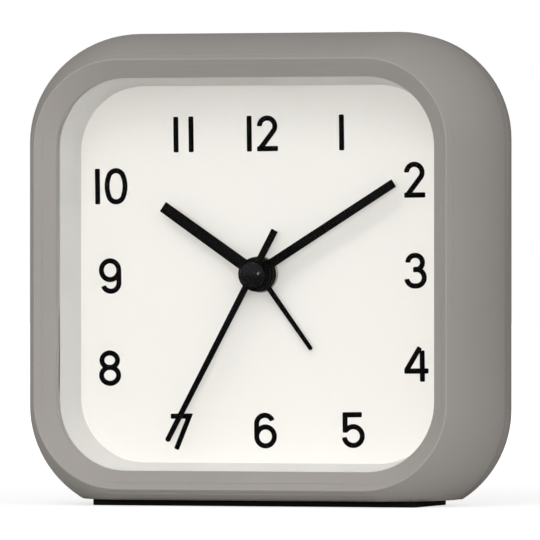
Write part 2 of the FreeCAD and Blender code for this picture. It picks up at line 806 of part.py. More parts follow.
for index in range(3):
    low = "(%s - Sizes.door_ridge_pitch * %d - Sizes.door_ridge_thickness)" % (DOOR_HIGH, index + 1)
    door_pieces.append(
        block(
            "door_ridge_%d" % index,
            "-Sizes.door_ridge_width / 2",
            "Sizes.door_ridge_width / 2",
            low,
            low + " + Sizes.door_ridge_thickness",
            "-Sizes.door_ridge_height",
            "Sizes.door_thickness / 2",
        )
    )
keep(fused("battery_door", door_pieces), "battery_door")

# Pad under the foot, glass, dial ring and dial

base_pad = doc.addObject("PartDesign::Body", "base_pad")
pad_outline = base_pad.newObject("Sketcher::SketchObject", "pad_outline")
pad_outline.AttachmentSupport = [(origin_plane(base_pad, "XZ_Plane"), "")]
pad_outline.MapMode = "FlatFace"
pad_outline.setExpression("AttachmentOffset.Base.z", named("foot_drop"))
rounded_outline(
    pad_outline,
    PAD_HALF,
    PAD_HALF,
    "-Sizes.pad_back_inset",
    less("case_depth", "pad_front_inset"),
    named("pad_corner_radius"),
)
pad(base_pad, pad_outline, "pad_slab", named("pad_thickness"))
keep(base_pad, "base_pad")

keep(square_body("lens", LENS_HALF, LENS_CORNER, LENS_BACK, LIP_BACK), "lens")

RING_OUT_HALF = "(%s + Sizes.ring_wall)" % MOUTH_HALF
ring_form = square_body("ring_form", RING_OUT_HALF, plus("ring_mouth_corner", "ring_wall"), RING_BACK, LENS_BACK)
ring_mouth = square_sketch(ring_form, "ring_mouth", MOUTH_HALF, named("ring_mouth_corner"), LENS_BACK)
ring_root = square_sketch(ring_form, "ring_root", DIAL_HALF, named("dial_corner_radius"), DIAL_FACE)
loft(ring_form, [ring_mouth, ring_root], "ring_flare", "SubtractiveLoft", True)
dial_seat = square_sketch(ring_form, "dial_seat", DIAL_HALF, named("dial_corner_radius"), DIAL_FACE)
pocket(ring_form, dial_seat, "dial_seat_cut", "Sizes.dial_thickness")
ring_tabs = []
RING_UNDER = "(%s - Sizes.overrun)" % RING_BACK
RING_OVER = "(%s + Sizes.overrun)" % DIAL_BACK
ring_holes = [disc("ring_bush_hole", plus("bush_radius", "dial_gap"), RING_UNDER, DIAL_FACE)]
for index, (sx, sy) in enumerate(((1, 1), (-1, 1), (-1, -1), (1, -1))):
    near = "(%s - Sizes.ring_wall / 2)" % RING_OUT_HALF
    far = "(%s + Sizes.tab_reach)" % RING_OUT_HALF
    left, right = (near, far) if sx > 0 else ("-" + far, "-" + near)
    low = "(%d * Sizes.tab_spread - Sizes.tab_height / 2)" % sy
    high = "(%d * Sizes.tab_spread + Sizes.tab_height / 2)" % sy
    ring_tabs.append(block("ring_tab_%d" % index, left, right, low, high, RING_BACK, DIAL_BACK))
    px = "%d * %s" % (sx, RING_POST_X)
    py = "%d * Sizes.tab_spread" % sy
    hole = plus("ring_screw_radius", "screw_clearance")
    ring_holes.append(disc("tab_hole_%d" % index, hole, RING_UNDER, RING_OVER, px, py))
    px = "%d * Sizes.ear_place" % sx
    py = "%d * Sizes.ear_rise" % sy
    ring_holes.append(
        disc(
            "floor_pilot_%d" % index,
            named("ring_screw_radius"),
            RING_UNDER,
            "(%s - Sizes.seat_gap)" % DIAL_BACK,
            px,
            py,
        )
    )
ring_solid = fused("ring_solid", [ring_form] + ring_tabs)
keep(cut("dial_ring", ring_solid, fused("ring_cut_tools", ring_holes)), "dial_ring")

dial_plate = square_body(
    "dial_plate", "%s - Sizes.dial_gap" % DIAL_HALF, less("dial_corner_radius", "dial_gap"), DIAL_BACK, DIAL_FACE
)
dial_hole = disc(
    "dial_hole", plus("bush_radius", "dial_gap"), "(%s - Sizes.overrun)" % DIAL_BACK, "(%s + Sizes.overrun)" % DIAL_FACE
)
keep(cut("dial", dial_plate, dial_hole), "dial")

# Hands: a boss on its tube and a tapered blade, drawn at twelve o'clock and turned to their hour


def tapered_outline(sketch, root_half, tip_half, start, end):
    x0, x1 = value(root_half), value(tip_half)
    y0, y1 = value(start), value(end)
    v = FreeCAD.Vector
    corners = (v(-x0, y0, 0), v(x0, y0, 0), v(x1, y1, 0), v(-x1, y1, 0))
    for index in range(4):
        sketch.addGeometry(Part.LineSegment(corners[index], corners[(index + 1) % 4]))
    for index in range(4):
        sketch.addConstraint(Sketcher.Constraint("Coincident", index, 2, (index + 1) % 4, 1))
    for index in (0, 2):
        sketch.addConstraint(Sketcher.Constraint("Horizontal", index))
    places = (
        ("root_left", "DistanceX", (0, 1, -1, 1), x0, root_half),
        ("root_right", "DistanceX", (-1, 1, 0, 2), x0, root_half),
        ("tip_right", "DistanceX", (-1, 1, 2, 1), x1, tip_half),
        ("tip_left", "DistanceX", (2, 2, -1, 1), x1, tip_half),
        ("root", "DistanceY", (-1, 1, 0, 1), y0, start),
        ("tip", "DistanceY", (-1, 1, 2, 1), y1, end),
    )
    for label, kind, ends, start_value, expression in places:
        number = sketch.addConstraint(Sketcher.Constraint(kind, *ends, start_value))
        sketch.renameConstraint(number, label)
        sketch.setExpression("Constraints." + label, expression)


def round_outline(sketch, radius, centre_y):
    v = FreeCAD.Vector
    circle = Part.Circle(v(0, value(centre_y), 0), v(0, 0, 1), value(radius))
    sketch.addGeometry(circle)
    number = sketch.addConstraint(Sketcher.Constraint("Radius", 0, value(radius)))
    sketch.renameConstraint(number, "radius")
    sketch.setExpression("Constraints.radius", radius)
    sketch.addConstraint(Sketcher.Constraint("PointOnObject", 0, 3, -2))
    number = sketch.addConstraint(Sketcher.Constraint("DistanceY", -1, 1, 0, 3, value(centre_y)))
    sketch.renameConstraint(number, "centre")
    sketch.setExpression("Constraints.centre", centre_y)


def hand(name, boss_back, boss_height, boss_radius, tube_radius, start, tail_width, rounded):
    body = doc.addObject("PartDesign::Body", name + "_hand")
    boss = sketch_on(body, name + "_boss_outline", boss_back)
    round_outline(boss, boss_radius, "0")
    pad(body, boss, name + "_boss", boss_height)
    blade_back = "(%s + (Sizes.boss_thickness - Sizes.blade_thickness) / 2)" % boss_back
    blade = sketch_on(body, name + "_blade_outline", blade_back)
    tip_half = "Sizes.%s_tip_width / 2" % name
    end = "Sizes.%s_length" % name
    if rounded:
        end = "(%s - %s)" % (end, tip_half)
    tapered_outline(blade, tail_width, tip_half, start, end)
    pad(body, blade, name + "_blade", named("blade_thickness"))
    if rounded:
        tip = sketch_on(body, name + "_tip_outline", blade_back)
        round_outline(tip, tip_half, end)
        pad(body, tip, name + "_tip", named("blade_thickness"))
    bore = sketch_on(body, name + "_bore_outline", "(%s + Sizes.tube_seat + Sizes.running_gap)" % boss_back)
    round_outline(bore, tube_radius, "0")
    pocket(body, bore, name + "_bore", "Sizes.tube_seat + Sizes.running_gap + Sizes.overrun")
    return keep(body, name + "_hand")


def through_bore(body, name, radius, top):
    bore = sketch_on(body, name + "_through_outline", "(%s + Sizes.overrun)" % top)
    round_outline(bore, radius, "0")
    pocket(body, bore, name + "_through", "Sizes.boss_thickness + 2 * Sizes.overrun")


hour_hand = hand(
    "hour", HOUR_BOSS, named("boss_thickness"), named("boss_radius"), plus("hour_tube_radius", "running_gap"),
    "0", "Sizes.hour_root_width / 2", False,
)
through_bore(hour_hand, "hour", plus("cannon_radius", "running_gap"), "(%s + Sizes.boss_thickness)" % HOUR_BOSS)
minute_hand = hand(
    "minute", MINUTE_BOSS, named("boss_thickness"), named("minute_boss_radius"),
    plus("cannon_radius", "running_gap"), "0", "Sizes.minute_root_width / 2", False,
)
through_bore(
    minute_hand, "minute", plus("second_arbor_radius", "running_gap"), "(%s + Sizes.boss_thickness)" % MINUTE_BOSS
)
alarm_hand = hand(
    "alarm", ALARM_BOSS, named("boss_thickness"), named("boss_radius"), plus("alarm_tube_radius", "running_gap"),
    "0", "Sizes.alarm_root_width / 2", True,
)
through_bore(alarm_hand, "alarm", plus("hour_tube_radius", "running_gap"), "(%s + Sizes.boss_thickness)" % ALARM_BOSS)
second_hand = hand(
    "second", SECOND_BOSS, named("cap_height"), named("cap_radius"), plus("second_arbor_radius", "running_gap"),
    "-Sizes.second_tail", "Sizes.second_root_width / 2", True,
)
round_edge(second_hand, "second_cap_edge", "(%s + Sizes.cap_height)" % SECOND_BOSS, named("cap_edge"))

# Toothed wheels: straight flanked teeth, the module from the distance and both tooth counts


def module_of(distance, teeth_a, teeth_b):
    return 2 * value("Sizes." + distance) / (value("Sizes." + teeth_a) + value("Sizes." + teeth_b))


def meshed_phase(teeth_driver, phase_driver, teeth_driven, direction):
    """The turn that puts a tooth space of the driven wheel on the driver's tooth."""
    lead = teeth_driver * (direction - phase_driver)
    return direction + math.pi - (math.pi - lead) / teeth_driven


def toothed(teeth, module, phase, bottom, top, x=0, y=0):
    outer = module * (teeth / 2 + value("Sizes.tooth_height_share"))
    inner = module * (teeth / 2 - value("Sizes.tooth_root_share"))
    tip = math.pi / teeth * value("Sizes.tooth_tip_share")
    foot = math.pi / teeth * value("Sizes.tooth_foot_share")
    points = []
    for index in range(teeth):
        middle = phase + 2 * math.pi * index / teeth
        for radius, turn in ((inner, -foot), (outer, -tip), (outer, tip), (inner, foot)):
            angle = middle + turn
            points.append(FreeCAD.Vector(x + radius * math.cos(angle), y + radius * math.sin(angle), bottom))
    points.append(points[0])
    return Part.Face(Part.makePolygon(points)).extrude(FreeCAD.Vector(0, 0, top - bottom))


def rod(radius, bottom, top, x=0, y=0):
    return Part.makeCylinder(radius, top - bottom, FreeCAD.Vector(x, y, bottom))


def teeth_of(alias):
    return round(value("Sizes." + alias))


def made(name, shape):
    obj = doc.addObject("Part::Feature", name)
    obj.Shape = shape
    return keep(obj, name)


def merged(first, *rest):
    return first.multiFuse(list(rest)).removeSplitter()


gap = value("Sizes.running_gap")
thick = value("Sizes.wheel_thickness")
thin = value("Sizes.thin_wheel_thickness")
pivot = value("Sizes.pivot_depth")
third_x, third_y = value(THIRD_X), value(THIRD_Y)
step_x, step_y = value(STEP_X), value(STEP_Y)
rotor_x, rotor_y = value(ROTOR_X), value(ROTOR_Y)
time_x, time_y = value(TIME_X), value(TIME_Y)
alarm_x, alarm_y = value(ALARM_X), value(ALARM_Y)
alarm_layer = value(ALARM_LAYER)
hour_layer = value(HOUR_LAYER)
minute_layer = value(MINUTE_LAYER)
centre_layer = value(CENTRE_LAYER)
third_layer = value(THIRD_LAYER)
second_layer = value(SECOND_LAYER)
step_layer = value(STEP_LAYER)
floor_pivot = value(HOUSING_FLOOR) - pivot + gap
middle_pivot = value(MIDDLE_BACK) + pivot - gap
plate_pivot = value(PLATE_BACK) + pivot - gap

train_pinion = teeth_of("train_pinion_teeth")
third_teeth = teeth_of("third_wheel_teeth")
centre_teeth = teeth_of("centre_wheel_teeth")
second_teeth = teeth_of("second_wheel_teeth")
step_pinion = teeth_of("step_pinion_teeth")
step_teeth = teeth_of("step_wheel_teeth")
cannon_teeth = teeth_of("cannon_teeth")
minute_teeth = teeth_of("minute_wheel_teeth")
minute_pinion = teeth_of("minute_pinion_teeth")
hour_teeth = teeth_of("hour_wheel_teeth")
alarm_teeth = teeth_of("alarm_wheel_teeth")
alarm_pinion = teeth_of("alarm_pinion_teeth")

to_third = math.radians(value("Sizes.third_bearing"))
to_step = math.radians(value("Sizes.step_bearing"))
to_rotor = math.radians(value("Sizes.rotor_bearing"))
to_time = math.radians(value("Sizes.time_set_bearing"))
to_alarm = math.radians(value("Sizes.alarm_set_bearing"))

# Seconds arbor with its wheel and the pinion that turns the third wheel
module = module_of("step_distance", "step_pinion_teeth", "second_wheel_teeth")
second_phase = meshed_phase(step_pinion, 0, second_teeth, to_step + math.pi)
second_disc = toothed(second_teeth, module, second_phase, second_layer, second_layer + thin)
module = module_of("third_distance", "train_pinion_teeth", "third_wheel_teeth")
second_leaves = toothed(train_pinion, module, 0, second_layer + thin, third_layer + thin + gap)
second_arbor = rod(value("Sizes.second_arbor_radius"), floor_pivot, value(SECOND_BOSS) + value("Sizes.tube_seat"))
made("second_wheel", merged(second_disc, second_leaves, second_arbor))

third_phase = meshed_phase(train_pinion, 0, third_teeth, to_third)
third_disc = toothed(third_teeth, module, third_phase, third_layer, third_layer + thin, third_x, third_y)
module = module_of("third_distance", "train_pinion_teeth", "centre_wheel_teeth")
third_leaves = toothed(train_pinion, module, 0, third_layer + thin, centre_layer + thin + gap, third_x, third_y)
third_arbor = rod(value("Sizes.thin_arbor_radius"), floor_pivot, middle_pivot, third_x, third_y)
made("third_wheel", merged(third_disc, third_leaves, third_arbor))

centre_phase = meshed_phase(train_pinion, 0, centre_teeth, to_third + math.pi)
centre_disc = toothed(centre_teeth, module, centre_phase, centre_layer, centre_layer + thin)
hub_radius = value("Sizes.friction_hub_radius")
centre_bore = rod(hub_radius + gap, centre_layer - thin, centre_layer + 2 * thin)
made("centre_wheel", centre_disc.cut(centre_bore))

# Motion work: cannon pinion, minute wheel and hour wheel give twelve to one
module = module_of("set_distance", "cannon_teeth", "minute_wheel_teeth")
cannon_leaves = toothed(cannon_teeth, module, 0, minute_layer, minute_layer + thin)
cannon_foot = centre_layer - 2 * gap
cannon_tube = rod(value("Sizes.cannon_radius"), cannon_foot, value(MINUTE_BOSS) + value("Sizes.tube_seat"))
cannon_hub = rod(hub_radius, cannon_foot, minute_layer)
cannon_bore = rod(
    value("Sizes.second_arbor_radius") + gap, cannon_foot - thin, value(MINUTE_BOSS) + value("Sizes.boss_thickness")
)
made("cannon_pinion", merged(cannon_leaves, cannon_tube, cannon_hub).cut(cannon_bore))

set_radius = value("Sizes.set_arbor_radius")
knob_seat = value(KNOB_BACK) + value("Sizes.knob_height") / 2
minute_phase = meshed_phase(cannon_teeth, 0, minute_teeth, to_time)
minute_disc = toothed(minute_teeth, module, minute_phase, minute_layer, minute_layer + thin, time_x, time_y)
module = module_of("set_distance", "minute_pinion_teeth", "hour_wheel_teeth")
minute_leaves = toothed(minute_pinion, module, 0, minute_layer + thin, hour_layer + thick, time_x, time_y)
minute_arbor = rod(set_radius, knob_seat, plate_pivot, time_x, time_y)
made("minute_wheel", merged(minute_disc, minute_leaves, minute_arbor))

hour_phase = meshed_phase(minute_pinion, 0, hour_teeth, to_time + math.pi)
hour_disc = toothed(hour_teeth, module, hour_phase, hour_layer, hour_layer + thick)
hour_tube = rod(value("Sizes.hour_tube_radius"), hour_layer, value(HOUR_BOSS) + value("Sizes.tube_seat"))
hour_bore = rod(
    value("Sizes.cannon_radius") + gap, hour_layer - thick, value(HOUR_BOSS) + value("Sizes.boss_thickness")
)
made("hour_wheel", merged(hour_disc, hour_tube).cut(hour_bore))

# Alarm work: the setting pinion turns the alarm wheel, whose tube carries the alarm hand
module = module_of("set_distance", "alarm_wheel_teeth", "alarm_pinion_teeth")
alarm_phase = meshed_phase(alarm_pinion, 0, alarm_teeth, to_alarm + math.pi)
alarm_disc = toothed(alarm_teeth, module, alarm_phase, alarm_layer, alarm_layer + thick)
alarm_tube = rod(value("Sizes.alarm_tube_radius"), alarm_layer, value(ALARM_BOSS) + value("Sizes.tube_seat"))
alarm_bore = rod(
    value("Sizes.hour_tube_radius") + gap, alarm_layer - thick, value(ALARM_BOSS) + value("Sizes.boss_thickness")
)
made("alarm_wheel", merged(alarm_disc, alarm_tube).cut(alarm_bore))
alarm_leaves = toothed(alarm_pinion, module, 0, alarm_layer, alarm_layer + thick, alarm_x, alarm_y)
alarm_arbor = rod(set_radius, knob_seat, plate_pivot, alarm_x, alarm_y)
made("alarm_pinion", merged(alarm_leaves, alarm_arbor))

# Step wheel and rotor: thirty turns of the rotor to one of the seconds arbor
module = module_of("rotor_distance", "train_pinion_teeth", "step_wheel_teeth")
step_phase = meshed_phase(train_pinion, 0, step_teeth, to_rotor + math.pi)
step_disc = toothed(step_teeth, module, step_phase, step_layer, step_layer + thin, step_x, step_y)
rotor_leaves = toothed(train_pinion, module, 0, step_layer, step_layer + thin + gap, rotor_x, rotor_y)
module = module_of("step_distance", "step_pinion_teeth", "second_wheel_teeth")
step_leaves = toothed(step_pinion, module, 0, step_layer + thin, second_layer + thin, step_x, step_y)
step_arbor = rod(value("Sizes.thin_arbor_radius"), floor_pivot, middle_pivot, step_x, step_y)
made("step_wheel", merged(step_disc, step_leaves, step_arbor))
rotor_radius = value("Sizes.rotor_arbor_radius")
rotor_arbor = rod(rotor_radius, floor_pivot, middle_pivot, rotor_x, rotor_y)
made("rotor_pinion", merged(rotor_leaves, rotor_arbor))
magnet_foot = value(MAGNET_FOOT)
magnet_top = magnet_foot + value("Sizes.magnet_length")
magnet = rod(value("Sizes.magnet_radius"), magnet_foot, magnet_top, rotor_x, rotor_y)
magnet_bore = rod(rotor_radius + gap, magnet_foot - thin, magnet_top + thin, rotor_x, rotor_y)
made("rotor_magnet", magnet.cut(magnet_bore))

# Stator and coil beside the rotor


def slab(left, right, low, high, bottom, top):
    corner = FreeCAD.Vector(left, low, bottom)
    return Part.makeBox(right - left, high - low, top - bottom, corner)


stator_thick = value("Sizes.stator_thickness")
stator_back = value(STATOR_BACK)
stator_front = stator_back + stator_thick
arm = value("Sizes.stator_arm")
coil_x = value("Sizes.coil_place")
coil_y = value("Sizes.coil_rise")
cheek = value("Sizes.bobbin_cheek")
coil_half = value("Sizes.coil_half_length")
core_half = value("Sizes.core_half_width")
cheek_radius = value("Sizes.bobbin_cheek_radius")
bar_right = coil_x - cheek_radius - value("Sizes.free_gap")
bar_left = rotor_x - arm
arm_right = coil_x + core_half
coil_top = coil_y + coil_half + cheek
coil_low = coil_y - coil_half - cheek
foot_width = 2 * core_half
bar = slab(bar_left, bar_right, coil_low - foot_width, coil_top + foot_width, stator_back, stator_front)
upper_arm = slab(bar_left, arm_right, coil_top, coil_top + foot_width, stator_back, stator_front)
lower_arm = slab(bar_left, arm_right, coil_low - foot_width, coil_low, stator_back, stator_front)
rotor_room = rod(
    value("Sizes.magnet_radius") + value("Sizes.stator_gap"), stator_back - thin, stator_front + thin, rotor_x, rotor_y
)
made("stator", merged(bar, upper_arm, lower_arm).cut(rotor_room))


def barrel(radius, low, high, x, z):
    return Part.makeCylinder(radius, high - low, FreeCAD.Vector(x, low, z), FreeCAD.Vector(0, 1, 0))


core_back = stator_back - value("Sizes.core_thickness")
coil_z = (core_back + stator_back) / 2
core = slab(coil_x - core_half, coil_x + core_half, coil_low - foot_width, coil_top + foot_width, core_back, stator_back)
upper_cheek = barrel(cheek_radius, coil_top - cheek, coil_top, coil_x, coil_z)
lower_cheek = barrel(cheek_radius, coil_low, coil_low + cheek, coil_x, coil_z)
made("coil_bobbin", merged(core, upper_cheek, lower_cheek))
winding = barrel(value("Sizes.coil_radius"), coil_low + cheek, coil_top - cheek, coil_x, coil_z)
made("coil_winding", winding.cut(core))

# Movement plates and housing

BAY_SPACE = plus("battery_radius", "bay_gap")
BAY_OUT = "(%s + Sizes.bay_wall)" % BAY_SPACE
ROOM_LOW = "(Sizes.bay_drop - %s)" % BAY_OUT
movement_slab = plate_body(
    "movement_slab",
    named("movement_half_width"),
    named("movement_half_width"),
    "(%s - Sizes.seat_gap)" % ROOM_LOW,
    named("movement_top"),
    named("movement_corner"),
    PLATE_BACK,
    PLATE_FRONT,
)
BUSH_FRONT = "(%s + Sizes.bush_proud)" % DIAL_FACE
plate_pieces = [movement_slab, disc("bush", named("bush_radius"), PLATE_BACK, BUSH_FRONT)]
PLATE_UNDER = "(%s - Sizes.overrun)" % PLATE_BACK
PLATE_OVER = "(%s + Sizes.overrun)" % PLATE_FRONT
BUSH_OVER = "(%s + Sizes.overrun)" % BUSH_FRONT
plate_holes = [disc("bush_bore", plus("alarm_tube_radius", "running_gap"), PLATE_UNDER, BUSH_OVER)]
LEAF_FRONT = "(%s - Sizes.seat_gap)" % HOUR_LAYER
LEAF_BACK = "(%s - Sizes.spring_leaf)" % LEAF_FRONT
LEAF_X = "(Sizes.movement_half_width - Sizes.movement_wall - 4 * Sizes.spring_post_radius)"
LEAF_Y = named("spring_leaf_width")
plate_pieces.append(disc("leaf_post", named("spring_post_radius"), LEAF_FRONT, PLATE_FRONT, LEAF_X, LEAF_Y))
for index, (sx, sy) in enumerate(((1, 1), (-1, 1), (-1, -1), (1, -1))):
    px = "%d * Sizes.ear_place" % sx
    py = "%d * Sizes.ear_rise" % sy
    plate_pieces.append(disc("ear_%d" % index, named("ear_radius"), PLATE_BACK, PLATE_FRONT, px, py))
    inner = "(Sizes.movement_half_width - Sizes.movement_wall)"
    left, right = (inner, named("ear_place")) if sx > 0 else ("-Sizes.ear_place", "-" + inner)
    low = "(%s - Sizes.ear_radius)" % py
    high = "(%s + Sizes.ear_radius)" % py
    plate_pieces.append(block("ear_neck_%d" % index, left, right, low, high, PLATE_BACK, PLATE_FRONT))
    ear_hole = plus("ring_screw_radius", "screw_clearance")
    plate_holes.append(disc("ear_hole_%d" % index, ear_hole, PLATE_UNDER, PLATE_OVER, px, py))
SET_PIVOT = plus("set_arbor_radius", "running_gap")
for name, px, py in (("time", TIME_X, TIME_Y), ("alarm", ALARM_X, ALARM_Y)):
    pivot_end = "(%s + Sizes.pivot_depth)" % PLATE_BACK
    plate_holes.append(disc(name + "_plate_pivot", SET_PIVOT, PLATE_UNDER, pivot_end, px, py))
plate_solid = fused("plate_solid", plate_pieces)
keep(cut("movement_plate", plate_solid, fused("plate_cut_tools", plate_holes)), "movement_plate")

THIN_PIVOT = plus("thin_arbor_radius", "running_gap")
ROTOR_PIVOT = plus("rotor_arbor_radius", "running_gap")
MIDDLE_RIGHT = "(Sizes.coil_place - Sizes.bobbin_cheek_radius - Sizes.free_gap)"
MIDDLE_LEFT = "(Sizes.movement_half_width - Sizes.movement_wall - Sizes.running_gap)"
middle_slab = plate_body(
    "middle_slab",
    MIDDLE_LEFT,
    MIDDLE_RIGHT,
    "(%s - Sizes.running_gap)" % ROOM_LOW,
    "(Sizes.movement_top - Sizes.movement_wall - Sizes.running_gap)",
    "(Sizes.movement_corner - Sizes.movement_wall)",
    MIDDLE_BACK,
    MIDDLE_FRONT,
)
MIDDLE_UNDER = "(%s - Sizes.overrun)" % MIDDLE_BACK
MIDDLE_OVER = "(%s + Sizes.overrun)" % MIDDLE_FRONT
MIDDLE_PIVOT = "(%s + Sizes.pivot_depth)" % MIDDLE_BACK
middle_holes = [
    disc("cannon_room", plus("friction_hub_radius", "free_gap"), MIDDLE_UNDER, MIDDLE_OVER),
    disc("time_room", ARBOR_ROOM, MIDDLE_UNDER, MIDDLE_OVER, TIME_X, TIME_Y),
    disc("alarm_room", ARBOR_ROOM, MIDDLE_UNDER, MIDDLE_OVER, ALARM_X, ALARM_Y),
    disc("third_pivot", THIN_PIVOT, MIDDLE_UNDER, MIDDLE_PIVOT, THIRD_X, THIRD_Y),
    disc("step_pivot", THIN_PIVOT, MIDDLE_UNDER, MIDDLE_PIVOT, STEP_X, STEP_Y),
    disc("rotor_pivot", ROTOR_PIVOT, MIDDLE_UNDER, MIDDLE_PIVOT, ROTOR_X, ROTOR_Y),
]
keep(cut("middle_plate", middle_slab, fused("middle_cut_tools", middle_holes)), "middle_plate")

housing_box = plate_body(
    "housing_box",
    named("movement_half_width"),
    named("movement_half_width"),
    "(%s + Sizes.bay_wall)" % ROOM_LOW,
    named("movement_top"),
    named("movement_corner"),
    HOUSING_BACK,
    PLATE_BACK,
)
BATTERY_Z = "(Sizes.wall + 2 * Sizes.bay_gap + Sizes.battery_radius)"
BAY_FRONT = "(%s + %s)" % (BATTERY_Z, BAY_OUT)
bay_box = plate_body(
    "bay_box",
    named("bay_half_width"),
    named("bay_half_width"),
    "(Sizes.bay_drop + %s)" % BAY_OUT,
    "(%s - Sizes.bay_drop)" % BAY_OUT,
    named("door_corner"),
    HOUSING_BACK,
    BAY_FRONT,
)
housing_room = plate_body(
    "housing_room",
    less("movement_half_width", "movement_wall"),
    less("movement_half_width", "movement_wall"),
    ROOM_LOW,
    less("movement_top", "movement_wall"),
    less("movement_corner", "movement_wall"),
    HOUSING_FLOOR,
    "(%s + Sizes.overrun)" % PLATE_BACK,
)
FLOOR_OVER = "(%s + Sizes.overrun)" % HOUSING_FLOOR
FLOOR_PIVOT = "(%s - Sizes.pivot_depth)" % HOUSING_FLOOR
FLOOR_UNDER = "(%s - Sizes.overrun)" % HOUSING_BACK
BAY_END = less("bay_half_width", "bay_wall")
BAY_ROTATION = FreeCAD.Rotation(FreeCAD.Vector(0, 1, 0), 90)


def lying(name, radius, left, right):
    """A round bar along x on the battery's axis."""
    obj = doc.addObject("Part::Cylinder", name)
    bind(obj, Radius=radius, Height="%s - %s" % (right, left))
    obj.Placement = FreeCAD.Placement(FreeCAD.Vector(), BAY_ROTATION)
    return put(obj, left, "-Sizes.bay_drop", BATTERY_Z)


housing_cuts = [
    housing_room,
    lying("bay_cradle", BAY_SPACE, "-" + BAY_END, BAY_END),
    block(
        "bay_mouth",
        "-" + BAY_END,
        BAY_END,
        "(-Sizes.bay_drop - %s)" % BAY_SPACE,
        "(%s - Sizes.bay_drop)" % BAY_SPACE,
        FLOOR_UNDER,
        BATTERY_Z,
    ),
    disc("second_floor_pivot", plus("second_arbor_radius", "running_gap"), FLOOR_PIVOT, FLOOR_OVER),
    disc("third_floor_pivot", THIN_PIVOT, FLOOR_PIVOT, FLOOR_OVER, THIRD_X, THIRD_Y),
    disc("step_floor_pivot", THIN_PIVOT, FLOOR_PIVOT, FLOOR_OVER, STEP_X, STEP_Y),
    disc("rotor_floor_pivot", ROTOR_PIVOT, FLOOR_PIVOT, FLOOR_OVER, ROTOR_X, ROTOR_Y),
    disc("time_floor_hole", SET_PIVOT, FLOOR_UNDER, FLOOR_OVER, TIME_X, TIME_Y),
    disc("alarm_floor_hole", SET_PIVOT, FLOOR_UNDER, FLOOR_OVER, ALARM_X, ALARM_Y),
    block("switch_slot", SLOT_LEFT, SLOT_RIGHT, SLOT_LOW, SLOT_HIGH, FLOOR_UNDER, FLOOR_OVER),
]
CORE_BACK = "(%s - Sizes.core_thickness)" % STATOR_BACK
CORE_SPREAD = "(Sizes.coil_half_length + Sizes.bobbin_cheek + Sizes.core_half_width)"
core_posts = []
for index, sy in enumerate((1, -1)):
    py = "(Sizes.coil_rise + %d * %s)" % (sy, CORE_SPREAD)
    core_posts.append(
        disc("core_post_%d" % index, named("core_half_width"), HOUSING_BACK, CORE_BACK, named("coil_place"), py)
    )
housing_solid = fused("housing_solid", [housing_box, bay_box])
housing_tray = cut("housing_tray", housing_solid, fused("housing_cut_tools", housing_cuts))
keep(fused("movement_housing", [housing_tray] + core_posts), "movement_housing")

# Alarm contact leaf, board and its parts

leaf_left = "(%s + Sizes.spring_post_radius - Sizes.spring_leaf_reach)" % LEAF_X
leaf = block(
    "alarm_contact",
    leaf_left,
    "(%s + Sizes.spring_post_radius)" % LEAF_X,
    "(%s - Sizes.spring_leaf_width / 2)" % LEAF_Y,
    "(%s + Sizes.spring_leaf_width / 2)" % LEAF_Y,
    LEAF_BACK,
    LEAF_FRONT,
)
keep(leaf, "alarm_contact")
BOARD_FRONT = "(%s + Sizes.board_thickness)" % HOUSING_FLOOR
board = block(
    "circuit_board",
    "-Sizes.board_outer",
    "-Sizes.board_inner",
    "-Sizes.board_bottom",
    named("board_top"),
    HOUSING_FLOOR,
    BOARD_FRONT,
)
keep(board, "circuit_board")
BOARD_MIDDLE = "(-(Sizes.board_inner + Sizes.board_outer) / 2)"
chip = block(
    "chip",
    "(%s - Sizes.chip_half_width)" % BOARD_MIDDLE,
    "(%s + Sizes.chip_half_width)" % BOARD_MIDDLE,
    "-Sizes.chip_half_width",
    named("chip_half_width"),
    BOARD_FRONT,
    "(%s + Sizes.chip_height)" % BOARD_FRONT,
)
keep(chip, "chip")
crystal_low = value("Sizes.board_top") / 2
crystal_z = value(BOARD_FRONT) + value("Sizes.crystal_radius")
crystal_high = crystal_low + value("Sizes.crystal_length")
made("crystal", barrel(value("Sizes.crystal_radius"), crystal_low, crystal_high, value(BOARD_MIDDLE), crystal_z))

# Battery and its contacts

NUB_END = "(%s - Sizes.contact_thickness)" % BAY_END
CELL_RIGHT = "(%s - Sizes.battery_nub_length)" % NUB_END
CELL_LEFT = "(%s - Sizes.battery_length)" % CELL_RIGHT
battery_pieces = [
    lying("cell", named("battery_radius"), CELL_LEFT, CELL_RIGHT),
    lying("cell_nub", named("battery_nub_radius"), CELL_RIGHT, NUB_END),
]
keep(fused("battery", battery_pieces), "battery")
contact_low = "(-Sizes.bay_drop - Sizes.contact_half_width)"
contact_high = "(Sizes.contact_half_width - Sizes.bay_drop)"
contact_back = "(%s - Sizes.contact_half_width)" % BATTERY_Z
contact_front = "(%s + Sizes.contact_half_width)" % BATTERY_Z
keep(
    block("contact_plus", NUB_END, BAY_END, contact_low, contact_high, contact_back, contact_front), "contact_plus"
)
minus_plate = block(
    "minus_plate", "-" + BAY_END, "-" + NUB_END, contact_low, contact_high, contact_back, contact_front
)
minus_spring = doc.addObject("Part::Cone", "minus_spring")
bind(
    minus_spring,
    Radius1=named("spring_root_radius"),
    Radius2=named("spring_tip_radius"),
    Height="%s + %s" % (CELL_LEFT, NUB_END),
)
minus_spring.Placement = FreeCAD.Placement(FreeCAD.Vector(), BAY_ROTATION)
put(minus_spring, "-" + NUB_END, "-Sizes.bay_drop", BATTERY_Z)
keep(fused("contact_spring", [minus_plate, minus_spring]), "contact_spring")

# Sounder behind its slots

SOUNDER_FRONT = plus("wall", "sounder_thickness")
keep(
    disc("sounder", named("sounder_radius"), named("wall"), SOUNDER_FRONT, "0", named("sounder_rise")), "sounder"
)

# Setting knobs with fluted rims, on the ends of their arbors


